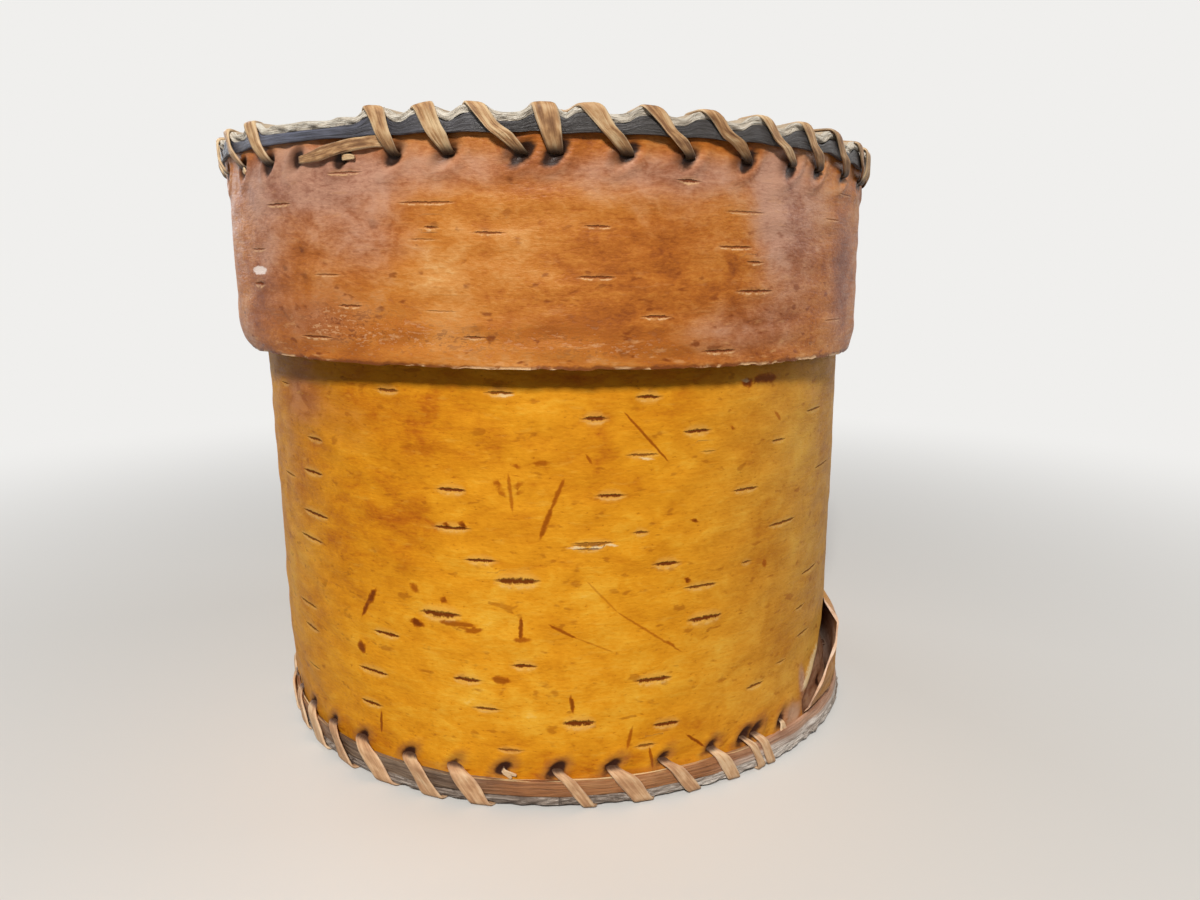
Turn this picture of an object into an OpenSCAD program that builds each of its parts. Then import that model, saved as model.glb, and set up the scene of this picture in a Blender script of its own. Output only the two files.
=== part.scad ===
// Round birch bark box with a deep lift-off lid, sewn with split roots.
// Millimetres, +Z up. The box stands on z = 0 with its axis on Z.
// Angles are azimuths, counted from the front (-Y) towards the right (+X).

/* [Box] */
// Outer radius of the box wall
wall_r = 84.4; // [60:0.1:120]
// Thickness of the wall bark
wall_bark = 2.4; // [1.8:0.1:3.2]
// Height of the wall sheet
wall_h = 152.8; // [120:0.1:220]
// Thickness of the base disc
base_bark = 2.2; // [1.6:0.1:3]
// Thickness of the strip around the foot of the wall
base_strip_t = 1.3; // [0.8:0.1:1.8]
// Height of the strip around the foot of the wall
base_strip_h = 3.4; // [2.5:0.1:5]
// Thickness of the strip around the mouth
mouth_strip_t = 1.0; // [0.8:0.1:1.6]
// Height of the strip around the mouth
mouth_strip_h = 4.6; // [3:0.1:6]

/* [Lid] */
// Thickness of the lid band
lid_bark = 2.0; // [1.6:0.1:2.8]
// Height of the lid band
lid_h = 51.5; // [40:0.1:80]
// Thickness of the lid disc
lid_top_bark = 1.6; // [1.2:0.1:2.6]
// Thickness of the dark strip around the top of the lid band
lid_strip_t = 1.3; // [0.8:0.1:1.8]
// Height of the dark strip around the top of the lid band
lid_strip_h = 3.6; // [2.5:0.1:5]
// Sideways play between the lid's inner stitches and the mouth's stitches
lid_play = 0.5; // [0.4:0.1:1.5]
// Gap between the lid's inner stitches and the mouth's stitches when the lid is down
lid_rest_gap = 0.4; // [0.3:0.1:1]

/* [Root lacing] */
// Width of a split root
root_w = 4.2; // [3.4:0.1:5]
// Thickness of a split root
root_t = 0.9; // [0.6:0.1:1.2]
// Width of a root where it is pinched in an awl hole
root_pinch_w = 3.4; // [2.4:0.1:3.4]
// Radius of an awl hole
awl_r = 2.2; // [2.1:0.1:2.6]
// Gap between a root and the bark that it lies on
seat = 0.1; // [0.05:0.05:0.2]
// Distance from the foot strip's upper edge up to the awl holes
base_hole_gap = 2.8; // [2.6:0.1:5]
// Distance from the wall's inner face in to the awl holes of the base disc
base_hole_in = 4.5; // [4:0.1:8]
// Distance from the mouth strip's lower edge down to the awl holes
mouth_hole_gap = 2.4; // [2.4:0.1:5]
// Distance from the lid strip's lower edge down to the awl holes
lid_hole_gap = 4.0; // [2.6:0.1:6]
// Distance from the lid band's inner face in to the awl holes of the lid disc
lid_hole_in = 3.5; // [3.2:0.1:8]
// Length of the root end that is tucked away inside
tuck_l = 7; // [4:0.5:12]
// Length of the loose root end that lies on the lid band
tail_l = 18; // [8:0.5:18]

/* [Lapped seams] */
// Gap between the two layers of a lap, and at the ends of the sheet
lap_gap = 0.3; // [0.3:0.05:0.5]
// How far the peeled corner of the wall gapes
flap_gape = 6; // [0.5:0.5:9]
// Distance from the foot's awl holes up to the peeled corner
flap_gap = 3.4; // [3.2:0.1:10]
// Height of the peeled corner
flap_h = 18; // [10:0.5:30]

/* [Hidden] */
$fn = 120;

// Awl holes of each rim, and the azimuth of one of them
base_holes = 40;
base_phase = -0.9;
base_pitch = 360 / base_holes;
mouth_holes = 36;
mouth_phase = -1;
mouth_pitch = 360 / mouth_holes;
lid_holes = 44;
lid_phase = 1.1;
lid_pitch = 360 / lid_holes;

// Hole where each root of the foot starts, and its stitches: three have come out on the right,
// and one at the front
base_roots = [[0, 6], [9, 15], [24, 15]];
// Stitches that each root of the mouth and of the lid makes: the lid lacks two
mouth_loops = 18;
lid_loops = 14;
// Hole, counted from the phase, where the lid's first root starts, and the one with the loose end
lid_start = -6;
tail_hole = -5;

// Share of the pitch that a stitch has gone at its disc hole, and then at the inside corner
disc_share = 0.85;
corner_share = 0.9;
// How much wider a slanting root is along the rim than across its own edges
slant = 1.25;
// How far the last inside leg of a root goes on before it ends
stop_share = 0.55;

// Heights
root_lift = root_t / 2 + seat;
base_z = root_t + seat;
wall_z = base_z + base_bark;
wall_top = wall_z + wall_h;
lid_under = wall_top + lid_rest_gap + 2 * (root_t + seat);
lid_low = lid_under - lid_h;
lid_high = lid_under + lid_top_bark;
base_hole_z = wall_z + base_strip_h + base_hole_gap;
mouth_hole_z = wall_top - mouth_strip_h - mouth_hole_gap;
lid_hole_z = lid_under - lid_strip_h - lid_hole_gap;

// Radii
wall_in = wall_r - wall_bark;
base_strip_r = wall_r + seat + base_strip_t;
base_r = base_strip_r - seat;
mouth_strip_r = wall_r + seat + mouth_strip_t;
lid_in = mouth_strip_r + lid_play + 2 * (root_t + seat);
lid_r = lid_in + lid_bark;
lid_strip_r = lid_r + seat + lid_strip_t;
lid_top_r = lid_strip_r - seat;
base_hole_r = wall_in - base_hole_in;
lid_hole_r = lid_in - lid_hole_in;

// The wall's lap, on the right, with its peeled corner
wall_seam_az = 90;
lap_half = 14;
flap_run = 18;
hinge_in = 8;
lap_front = wall_seam_az - lap_half;
lap_back = wall_seam_az + lap_half;
flap_foot = lap_front - flap_run;
flap_hinge = lap_back - hinge_in;
wall_layer = (wall_bark - lap_gap) / 2;
flap_z = base_hole_z + flap_gap;
flap_top = flap_z + flap_h;

// The lid band's lap, at the back
lid_seam_az = 180;
lid_lap_half = 12;
lid_lap_front = lid_seam_az - lid_lap_half;
lid_lap_back = lid_seam_az + lid_lap_half;
lid_layer = (lid_bark - lap_gap) / 2;

// Running stitches that hold the laps: their end holes keep clear of edges and of other lacings
seam_clear = 8;
seam_drop = 14;
wall_seam_holes = 8;
wall_seam_low = flap_top + seam_clear;
wall_seam_high = mouth_hole_z - seam_drop;
lid_seam_holes = 4;
lid_seam_low = lid_low + seam_clear;
lid_seam_high = lid_hole_z - seam_clear;

// The oblique cut where the two ends of a strip meet
scarf_az = 150;
scarf_slope = 55;

// Extra length of a cutting solid past the faces that it cuts, and a small step between two cuts
over = 2;
nick = 0.05;

// A point at radius r, azimuth a and height z, and the directions out and along the rim there
function polar(r, a, z) = [r * sin(a), -r * cos(a), z];
function outward(a) = [sin(a), -cos(a), 0];
function along(a) = [cos(a), sin(a), 0];
function unit(v) = v / norm(v);
// Angle of an arc of length l at radius r
function arc(l, r) = l / r * 180 / PI;
function flat(lists) = [for (l = lists, x = l) x];

// Points of a stitch: [radius, height], share of the pitch, width along the rim.
// It comes out of the wall, slants over the strip, dives through the disc and climbs back inside.
function base_stitch() = [
    [[wall_r + root_lift, base_hole_z], 0, root_pinch_w],
    [[base_strip_r + root_lift, wall_z + base_strip_h + root_lift], 0.2, root_w * slant],
    [[base_strip_r + root_lift, root_t / 2], 0.58, root_w * slant],
    [[base_hole_r, root_t / 2], disc_share, root_pinch_w],
    [[base_hole_r, wall_z + root_lift], disc_share, root_pinch_w],
    [[wall_in - root_lift, wall_z + root_lift], corner_share, root_w],
    [[wall_in - root_lift, base_hole_z], 1, root_pinch_w]];
function lid_stitch() = [
    [[lid_r + root_lift, lid_hole_z], 0, root_pinch_w],
    [[lid_strip_r + root_lift, lid_under - lid_strip_h - root_lift], 0.24, root_w * slant],
    [[lid_strip_r + root_lift, lid_high + root_lift], 0.6, root_w * slant],
    [[lid_hole_r, lid_high + root_lift], disc_share, root_pinch_w],
    [[lid_hole_r, lid_under - root_lift], disc_share, root_pinch_w],
    [[lid_in - root_lift, lid_under - root_lift], corner_share, root_w],
    [[lid_in - root_lift, lid_hole_z], 1, root_pinch_w]];
// Over the mouth the stitch has no disc to pass
function mouth_stitch() = [
    [[wall_r + root_lift, mouth_hole_z], 0, root_pinch_w],
    [[mouth_strip_r + root_lift, wall_top - mouth_strip_h - root_lift], 0.25, root_w * slant],
    [[mouth_strip_r + root_lift, wall_top + root_lift], 0.6, root_w * slant],
    [[wall_in - root_lift, wall_top + root_lift], 0.8, root_w * slant],
    [[wall_in - root_lift, mouth_hole_z], 1, root_pinch_w]];

// Points of one root, as [radius, height], azimuth, width: a tucked start, then all its stitches.
// Its last end lies inside, or where a stitch broke off stays in the next hole.
function root_path(stitch, first, step, loops, tuck, broken) =
    let (n = len(stitch),
         hole = stitch[n - 1][0],
         corner = stitch[n - 2][0],
         last = first + step * loops,
         out = (stitch[0][0] + hole) / 2)
    concat(
        [[hole + [0, tuck], first, root_w], [hole, first, root_pinch_w]],
        [for (s = [0 : loops - 1], i = [0 : n - 1])
            if (s < loops - 1 || i < n - 1)
                [stitch[i][0], first + step * (s + stitch[i][1]), stitch[i][2]]],
        broken
            ? [[hole, last, root_pinch_w], [out, last, root_pinch_w]]
            : [[corner + (hole - corner) * stop_share, last, root_pinch_w]]);

// A seam's running stitch: in and out of holes one above another
function seam_path(r_in, r_out, a, z_low, z_high, holes) =
    let (step = (z_high - z_low) / (holes - 1), inner = r_in - root_lift, outer = r_out + root_lift)
    concat(
        [[[inner, z_low - tuck_l], a, root_w]],
        [for (k = [0 : holes - 1], i = [0, 1])
            [[(k + i) % 2 == 0 ? inner : outer, z_low + k * step], a, root_pinch_w]],
        [[[holes % 2 == 0 ? inner : outer, z_high + tuck_l], a, root_w]]);

// Half the ribbon's thickness at point i, square to its fold there
function side(a, b) = [unit(b - a).y, -unit(b - a).x];
function fold(p, i) =
    let (n = len(p),
         s1 = i > 0 ? side(p[i - 1], p[i]) : side(p[0], p[1]),
         s2 = i < n - 1 ? side(p[i], p[i + 1]) : s1)
    (s1 + s2) / (1 + s1 * s2) * root_t / 2;
// The four corners of a root at point i of its path: folds run along the rim
function root_ring(path, i) =
    let (a = path[i][1],
         f = fold([for (k = path) k[0]], i),
         c = polar(path[i][0].x, a, path[i][0].y),
         u = along(a) * path[i][2] / 2,
         v = outward(a) * f.x + [0, 0, f.y])
    [c - u - v, c + u - v, c + u + v, c - u + v];
function root_rings(path) = [for (i = [0 : len(path) - 1]) root_ring(path, i)];

// Least distance from one stitch of a root to its other stitches and its own far side,
// on points along its four edges, leaving out points that neighbour each other along the root
gap_steps = 4;
gap_reach = 1.5;
function edge_points(path, i0, i1) =
    [for (i = [i0 : i1 - 1], k = [0 : gap_steps - 1], c = [0 : 3])
        let (t = k / gap_steps)
        [i + t, root_ring(path, i)[c] * (1 - t) + root_ring(path, i + 1)[c] * t]];
function least_gap(stitch, step) =
    let (n = len(stitch),
         path = root_path(stitch, 0, step, 5, tuck_l, false),
         here = edge_points(path, 2 + 2 * n, 2 + 3 * n),
         near = edge_points(path, 2 + n, 2 + 4 * n))
    min([for (p = here, q = near) if (abs(p[0] - q[0]) >= gap_reach) norm(p[1] - q[1])]);

// A closed ribbon through a list of four-cornered rings
module ribbon(rings) {
    n = len(rings);
    sides = [for (i = [0 : n - 2], j = [0 : 3])
        let (a = 4 * i + j, b = 4 * i + (j + 1) % 4)
        each [[a, b, b + 4], [a, b + 4, a + 4]]];
    last = 4 * (n - 1);
    ends = [[3, 2, 1], [3, 1, 0], [last, last + 1, last + 2], [last, last + 2, last + 3]];
    polyhedron(points = flat(rings), faces = concat(sides, ends), convexity = 10);
}

// A ring, or a part of one between two azimuths
module tube(r0, r1, z0, z1) {
    rotate_extrude() translate([r0, z0]) square([r1 - r0, z1 - z0]);
}
module sector(r0, r1, z0, z1, a0, a1) {
    rotate([0, 0, a0 - 90])
        rotate_extrude(angle = a1 - a0) translate([r0, z0]) square([r1 - r0, z1 - z0]);
}

// Awl holes through a wall, and through a disc
module wall_hole(a, z, r_in, r_out) {
    rotate([0, 0, a]) translate([0, -r_in + over, z]) rotate([90, 0, 0])
        cylinder(h = r_out - r_in + 2 * over, r = awl_r);
}
module disc_hole(a, r, z0, z1) {
    translate(polar(r, a, z0 - over)) cylinder(h = z1 - z0 + 2 * over, r = awl_r);
}
module seam_holes(r_in, r_out, a, z_low, z_high, holes) {
    for (k = [0 : holes - 1])
        wall_hole(a, z_low + k * (z_high - z_low) / (holes - 1), r_in, r_out);
}

// The gaps that make a ring one sheet with a half lap: between its layers, at the outer layer's
// front end, and at the inner layer's back end. Each end gap meets the layer gap halfway.
module layer_gap(r_out, layer, z0, z1, a_front, a_back) {
    half = arc(lap_gap, r_out) / 2;
    sector(r_out - layer - lap_gap, r_out - layer, z0, z1, a_front - half, a_back + half);
}
module front_end_gap(r_out, layer, z0, z1, a) {
    sector(r_out - layer - lap_gap / 2, r_out + over, z0, z1, a - arc(lap_gap, r_out), a);
}
module back_end_gap(r_in, r_out, layer, z0, z1, a) {
    sector(r_in - over, r_out - layer - lap_gap / 2, z0, z1, a, a + arc(lap_gap, r_out));
}

// Space that the peeled corner leaves: the outer layer behind a slanting edge
module flap_window() {
    middle = (flap_foot + lap_front) / 2;
    run = 2 * wall_r * sin((lap_front - flap_foot) / 2);
    size = 2 * wall_r;
    intersection() {
        sector(wall_r - wall_layer - lap_gap + nick, wall_r + over, flap_z, flap_top,
               flap_foot - over, flap_hinge);
        rotate([0, 0, middle]) translate([0, -wall_r, flap_z + flap_h / 2])
            rotate([0, atan2(run, flap_h), 0])
            translate([-lap_gap, -size / 2, -size / 2]) cube(size);
    }
}

// The peeled corner: the outer layer bends out towards its free edge.
// It keeps a thin tongue in the sheet above, below and behind it.
flap_columns = 9;
flap_rows = 8;
tongue = 0.4;
thin = 0.1;
function flap_edge(t) = flap_foot + (lap_front - flap_foot) * t;
function flap_point(i, j, layer) =
    let (t = min(max((j - 1) / flap_rows, 0), 1),
         s = min(max((i - 1) / flap_columns, 0), 1),
         inside = i == 0 || j == 0 || j == flap_rows + 2,
         back = arc(tongue, wall_r),
         z = j == 0 ? flap_z - tongue
             : j == flap_rows + 2 ? flap_top + tongue
             : flap_z + tongue + (flap_h - 2 * tongue) * t,
         up = min(max((z - flap_z) / flap_h, 0), 1),
         a_hinge = i == 0 ? flap_hinge + back : flap_hinge - back,
         a_edge = flap_edge(up) + (inside ? back : 0),
         a = a_hinge + (a_edge - a_hinge) * s,
         out = flap_gape * sin(180 * t) * s * s,
         r = layer == 0 ? wall_r - (inside ? thin : 0) : wall_r - wall_layer + (inside ? thin : 0))
    polar(r + out, a, z);
module flap() {
    m = flap_columns + 1;
    n = flap_rows + 2;
    row = m + 1;
    inner = row * (n + 1);
    points = [for (layer = [0, 1], j = [0 : n], i = [0 : m]) flap_point(i, j, layer)];
    skin = [for (i = [0 : m - 1], j = [0 : n - 1])
        let (a = i + j * row, b = a + 1, c = b + row, d = a + row)
        each [[a, b, c], [a, c, d], [c + inner, b + inner, a + inner], [d + inner, c + inner, a + inner]]];
    low_high = [for (i = [0 : m - 1])
        let (a = i, b = i + 1, c = i + n * row, d = c + 1)
        each [[b, a, a + inner], [b, a + inner, b + inner], [c, d, d + inner], [c, d + inner, c + inner]]];
    sides = [for (j = [0 : n - 1])
        let (a = j * row, b = a + row, c = a + m, d = c + row)
        each [[a, b, b + inner], [a, b + inner, a + inner], [d, c, c + inner], [d, c + inner, d + inner]]];
    polyhedron(points = points, faces = concat(skin, low_high, sides), convexity = 6);
}

// A strip bent into a ring, its two ends meeting in an oblique cut
module strip(r0, r1, z0, z1) {
    size = 4 * (z1 - z0);
    difference() {
        tube(r0, r1, z0, z1);
        rotate([0, 0, scarf_az]) translate([0, -(r0 + r1) / 2, (z0 + z1) / 2]) rotate([0, scarf_slope, 0])
            cube([lap_gap, r1 - r0 + 2 * over, size], center = true);
    }
}

// The wall's lap: its outer layer reaches further forward below the peeled corner than above it
module wall_lap() {
    low = wall_z - over;
    high = wall_top + over;
    back_end_gap(wall_in, wall_r, wall_layer, low, high, lap_back);
    layer_gap(wall_r, wall_layer, low, high, lap_front, lap_back);
    front_end_gap(wall_r, wall_layer, flap_top - tongue / 2, high, lap_front);
    layer_gap(wall_r - nick, wall_layer, low, flap_z + tongue / 2, flap_foot, flap_hinge);
    front_end_gap(wall_r, wall_layer, low, flap_z + tongue / 2, flap_foot);
}

// Box wall: one sheet of bark, lapped on the right and pierced for its three lacings
module wall() {
    color("#d7962d") difference() {
        union() {
            difference() {
                tube(wall_in, wall_r, wall_z, wall_top);
                wall_lap();
                flap_window();
            }
            flap();
        }
        for (k = [0 : base_holes - 1])
            wall_hole(base_phase + k * base_pitch, base_hole_z, wall_in, wall_r);
        for (k = [0 : mouth_holes - 1])
            wall_hole(mouth_phase + k * mouth_pitch, mouth_hole_z, wall_in, wall_r);
        seam_holes(wall_in, wall_r, wall_seam_az, wall_seam_low, wall_seam_high, wall_seam_holes);
    }
}

// Base: a bark disc under the wall
module base() {
    color("#8f7f68") difference() {
        translate([0, 0, base_z]) cylinder(h = base_bark, r = base_r);
        for (k = [0 : base_holes - 1])
            disc_hole(base_phase + (k + disc_share) * base_pitch, base_hole_r, base_z, wall_z);
    }
}

module base_hoop() {
    color("#8a5527") strip(wall_r + seat, base_strip_r, wall_z, wall_z + base_strip_h);
}

// Foot lacing: three roots, going to the right. The first and the last broke off.
module base_lacing(k) {
    color("#c8a482")
        ribbon(root_rings(root_path(base_stitch(), base_phase + base_roots[k][0] * base_pitch,
                                    base_pitch, base_roots[k][1], tuck_l, k != 1)));
}

module mouth_hoop() {
    color("#9c6a35") strip(wall_r + seat, mouth_strip_r, wall_top - mouth_strip_h, wall_top);
}

// Mouth lacing: two roots, going to the left
module mouth_lacing(k) {
    color("#c49a63")
        ribbon(root_rings(root_path(mouth_stitch(), mouth_phase - k * mouth_loops * mouth_pitch,
                                    -mouth_pitch, mouth_loops, -tuck_l, false)));
}

module wall_seam_lacing() {
    color("#c49a63")
        ribbon(root_rings(seam_path(wall_in, wall_r, wall_seam_az,
                                    wall_seam_low, wall_seam_high, wall_seam_holes)));
}

// Lid band: one sheet of bark, lapped at the back
module lid_band() {
    color("#b9702f") difference() {
        tube(lid_in, lid_r, lid_low, lid_under);
        back_end_gap(lid_in, lid_r, lid_layer, lid_low - over, lid_under + over, lid_lap_back);
        layer_gap(lid_r, lid_layer, lid_low - over, lid_under + over, lid_lap_front, lid_lap_back);
        front_end_gap(lid_r, lid_layer, lid_low - over, lid_under + over, lid_lap_front);
        for (k = [0 : lid_holes - 1])
            wall_hole(lid_phase + k * lid_pitch, lid_hole_z, lid_in, lid_r);
        seam_holes(lid_in, lid_r, lid_seam_az, lid_seam_low, lid_seam_high, lid_seam_holes);
    }
}

// Lid disc: lies on the edges of the band and of the dark strip
module lid_top() {
    color("#cdbfa6") difference() {
        translate([0, 0, lid_under]) cylinder(h = lid_top_bark, r = lid_top_r);
        for (k = [0 : lid_holes - 1])
            disc_hole(lid_phase + (k - disc_share) * lid_pitch, lid_hole_r, lid_under, lid_high);
    }
}

module lid_hoop() {
    color("#34302c") strip(lid_r + seat, lid_strip_r, lid_under - lid_strip_h, lid_under);
}

// Lid lacing: three roots one after another, going to the left
module lid_lacing(k) {
    color("#b98f55")
        ribbon(root_rings(root_path(lid_stitch(), lid_phase + (lid_start - k * lid_loops) * lid_pitch,
                                    -lid_pitch, lid_loops, -tuck_l, k == 2)));
}

// Loose end of a broken root: out of its hole and along the band, rising a little
module lid_root_tail() {
    rise = 2.5;
    bends = 4;
    tip = 0.6;
    r = lid_r + root_lift;
    a0 = lid_phase + tail_hole * lid_pitch;
    half = root_t / 2;
    up = [0, 0, root_pinch_w / 2];
    in_hole = [polar(lid_in + seat, a0, lid_hole_z), -along(a0) * half, -up];
    bend = [polar(r, a0, lid_hole_z), (outward(a0) - along(a0)) * half, -up];
    laid = [for (k = [1 : bends])
        let (t = k / bends, a = a0 + arc(tail_l, r) * t)
        [polar(r, a, lid_hole_z + rise * t), outward(a) * half, -up * (1 - (1 - tip) * t * t)]];
    rings = [for (k = concat([in_hole, bend], laid))
        let (c = k[0], v = k[1], u = k[2]) [c - u - v, c + u - v, c + u + v, c - u + v]];
    color("#a97f4e") ribbon(rings);
}

module lid_seam_lacing() {
    color("#b98f55")
        ribbon(root_rings(seam_path(lid_in, lid_r, lid_seam_az, lid_seam_low, lid_seam_high, lid_seam_holes)));
}

echo(str("Least gap of a foot root to itself: ", least_gap(base_stitch(), base_pitch), " mm"));
echo(str("Least gap of a mouth root to itself: ", least_gap(mouth_stitch(), -mouth_pitch), " mm"));
echo(str("Least gap of a lid root to itself: ", least_gap(lid_stitch(), -lid_pitch), " mm"));

wall();
base();
base_hoop();
base_lacing(0);  // base_lacing_1
base_lacing(1);  // base_lacing_2
base_lacing(2);  // base_lacing_3
mouth_hoop();
mouth_lacing(0);  // mouth_lacing_1
mouth_lacing(1);  // mouth_lacing_2
wall_seam_lacing();
lid_band();
lid_top();
lid_hoop();
lid_lacing(0);  // lid_lacing_1
lid_lacing(1);  // lid_lacing_2
lid_lacing(2);  // lid_lacing_3
lid_root_tail();
lid_seam_lacing();
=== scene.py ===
import bpy
import numpy as np
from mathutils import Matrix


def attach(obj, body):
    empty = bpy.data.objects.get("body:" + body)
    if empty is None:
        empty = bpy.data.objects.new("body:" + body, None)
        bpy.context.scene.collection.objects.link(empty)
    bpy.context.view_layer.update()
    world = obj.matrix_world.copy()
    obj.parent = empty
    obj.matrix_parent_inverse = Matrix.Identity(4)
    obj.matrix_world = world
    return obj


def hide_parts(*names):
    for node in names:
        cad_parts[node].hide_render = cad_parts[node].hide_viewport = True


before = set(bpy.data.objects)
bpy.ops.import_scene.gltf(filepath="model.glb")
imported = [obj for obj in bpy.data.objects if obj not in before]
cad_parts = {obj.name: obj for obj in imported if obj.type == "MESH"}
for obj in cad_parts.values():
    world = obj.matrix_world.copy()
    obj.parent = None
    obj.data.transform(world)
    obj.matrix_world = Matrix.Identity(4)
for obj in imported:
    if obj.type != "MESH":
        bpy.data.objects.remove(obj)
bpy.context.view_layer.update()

# Camera: the photograph was taken close to the box, level with the lower part of the lid,
# with the lens tipped down and turned slightly to the right. All lengths here are in metres.
PHOTO_W, PHOTO_H = 1200, 900
FOCAL_PX = 880.3
EYE = np.array([0.0, -0.2766, 0.1281])
TIP_DOWN = np.radians(11.70)
TURN_RIGHT = np.radians(2.78)
SENSOR_MM = 36

scene = bpy.context.scene
scene.view_settings.view_transform = "Standard"
lens = bpy.data.cameras.new("photo_camera")
lens.sensor_width = SENSOR_MM
lens.lens = SENSOR_MM * FOCAL_PX / PHOTO_W
lens.clip_start = 0.01
camera = bpy.data.objects.new("photo_camera", lens)
camera.location = EYE
camera.rotation_euler = (np.pi / 2 - TIP_DOWN, 0, -TURN_RIGHT)
scene.collection.objects.link(camera)
scene.camera = camera

# Base disc: a round of birch bark under the wall. Its cut edge shows below the stitches as grey,
# streaky, papery layers, and the lacing through it ties it to the wall.
BASE_LOW, BASE_TOP, BASE_R, BASE_RAG = 0.0010, 0.0032, 0.0857, 0.00030
PALER, PALER_AZ, PALER_WIDTH, DARKER = 0.40, np.radians(40), np.radians(32), 0.12
DISC_STEPS, FACE_RINGS, EDGE_ROWS, EDGE_BOW = 720, 22, 9, 0.0003
RAG_TURNS, RAG_RISES, LIFT_TURNS, LIFT_SHARE = 130, 5000.0, 60, 0.4
MOUTH_SLIP, SLIP_LOW, SLIP_HIGH = 0.0012, 0.095, 0.150
BULGE, BULGE_AZ, BULGE_WIDTH = 0.0044, np.radians(66), np.radians(32)
DRAWN_IN, DRAWN_AZ, DRAWN_WIDTH = 0.0024, np.radians(-75), np.radians(40)
FOOT_FADE = 0.016


def polar(r, az, z):
    """Points at radius r and height z, at an azimuth counted from the front (-Y) to the right (+X)."""
    r, az, z = np.broadcast_arrays(r, az, z)
    return np.stack([r * np.sin(az), -r * np.cos(az), z], axis=-1)


def smooth(value, low, high):
    """0 below low, 1 above high, and the cubic 3t^2 - 2t^3 between."""
    t = np.clip((value - low) / (high - low), 0, 1)
    return t * t * (3 - 2 * t)


def foot_swell(az, z):
    """How far the foot stands out of round: out on the right, where stitches are lost, and in on the
    left. Two bell curves of azimuth that fade with height."""
    out = BULGE * np.exp(-((az - BULGE_AZ) / BULGE_WIDTH) ** 2)
    drawn = DRAWN_IN * np.exp(-((az - DRAWN_AZ) / DRAWN_WIDTH) ** 2)
    return (out - drawn) * np.exp(-(z / FOOT_FADE) ** 2)


def settle_box(points):
    """A handmade box isn't true: its foot swells, and its mouth has slipped to the left under the lid."""
    az = np.arctan2(points[..., 0], -points[..., 1])
    z = points[..., 2]
    reach = np.clip(np.hypot(points[..., 0], points[..., 1]) / BASE_R, 0, 1) ** 4
    moved = points + polar(foot_swell(az, z) * reach, az, 0 * z)
    moved[..., 0] -= MOUTH_SLIP * smooth(z, SLIP_LOW, SLIP_HIGH)
    return moved


def ripple(az, z, seed, turns, rises, waves=14):
    """An uneven surface: sine waves with seeded whole counts round the box, counts up it and phases,
    added and divided by the square root of how many there are."""
    rng = np.random.default_rng(seed)
    count = rng.integers(-turns, turns + 1, waves)
    rise = rng.uniform(-rises, rises, waves)
    phase = rng.uniform(0, 2 * np.pi, waves)
    az, z = np.broadcast_arrays(az, z)
    total = np.zeros(az.shape)
    for n, m, p in zip(count, rise, phase):
        total += np.sin(az * n + z * m + p)
    return total / np.sqrt(waves)


def quads(rows, cols, join_rows=False, join_cols=False):
    """Corner numbers of the quads between neighbours on a grid, wrapped round where it is joined."""
    i = np.arange(rows if join_rows else rows - 1)[:, None]
    j = np.arange(cols if join_cols else cols - 1)[None, :]
    i2, j2 = (i + 1) % rows, (j + 1) % cols
    corners = [i * cols + j, i * cols + j2, i2 * cols + j2, i2 * cols + j]
    return np.stack(np.broadcast_arrays(*corners), axis=-1).reshape(-1, 4)


def fan(ring, tip):
    """Triangles from each side of a closed ring of points to one middle point."""
    return np.stack([ring, np.roll(ring, -1), np.full(len(ring), tip)], axis=-1)


def outward(points, faces):
    """Arrays of faces, turned over if the volume that they enclose comes out negative."""
    points = points.reshape(-1, 3)
    volume = 0.0
    for f in faces:
        for k in range(1, f.shape[1] - 1):
            volume += np.einsum("ij,ij->", points[f[:, 0]], np.cross(points[f[:, k]], points[f[:, k + 1]]))
    return [f[:, ::-1] if volume < 0 else f for f in faces]


def build(name, points, faces, materials, finish=None, sharp=50):
    """A mesh object at the origin from points and arrays of faces, with its faces outward. finish
    gives each face its material's number."""
    faces = outward(points, faces)
    points = np.ascontiguousarray(points.reshape(-1, 3), dtype=np.float32)
    sizes = np.concatenate([np.full(len(f), f.shape[1]) for f in faces])
    corners = np.concatenate([f.ravel() for f in faces]).astype(np.int32)
    starts = np.concatenate([[0], np.cumsum(sizes)[:-1]]).astype(np.int32)
    mesh = bpy.data.meshes.new(name)
    mesh.vertices.add(len(points))
    mesh.vertices.foreach_set("co", points.ravel())
    mesh.loops.add(len(corners))
    mesh.loops.foreach_set("vertex_index", corners)
    mesh.polygons.add(len(sizes))
    mesh.polygons.foreach_set("loop_start", starts)
    mesh.polygons.foreach_set("use_smooth", np.ones(len(sizes), dtype=bool))
    for material in materials:
        mesh.materials.append(material)
    if finish is not None:
        mesh.polygons.foreach_set("material_index", np.asarray(finish, dtype=np.int32))
    mesh.update(calc_edges=True)
    mesh.validate()
    mesh.set_sharp_from_angle(angle=np.radians(sharp))
    piece = bpy.data.objects.new(name, mesh)
    scene.collection.objects.link(piece)
    return piece


def paint(piece, **fields):
    """Keeps a number for each point of a mesh, or three for its place on the sheet of bark, as
    attributes that its material reads."""
    for name, values in fields.items():
        kind, key = ("FLOAT_VECTOR", "vector") if name == "sheet" else ("FLOAT", "value")
        layer = piece.data.attributes.new(name, kind, "POINT")
        layer.data.foreach_set(key, np.ascontiguousarray(values, dtype=np.float32).ravel())


def dye(red, green, blue):
    """A colour as it looks, in steps of 255, as the linear colour that a shader takes."""
    c = np.array([red, green, blue]) / 255
    linear = np.where(c <= 0.04045, c / 12.92, ((c + 0.055) / 1.055) ** 2.4)
    return (*linear, 1.0)


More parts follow.
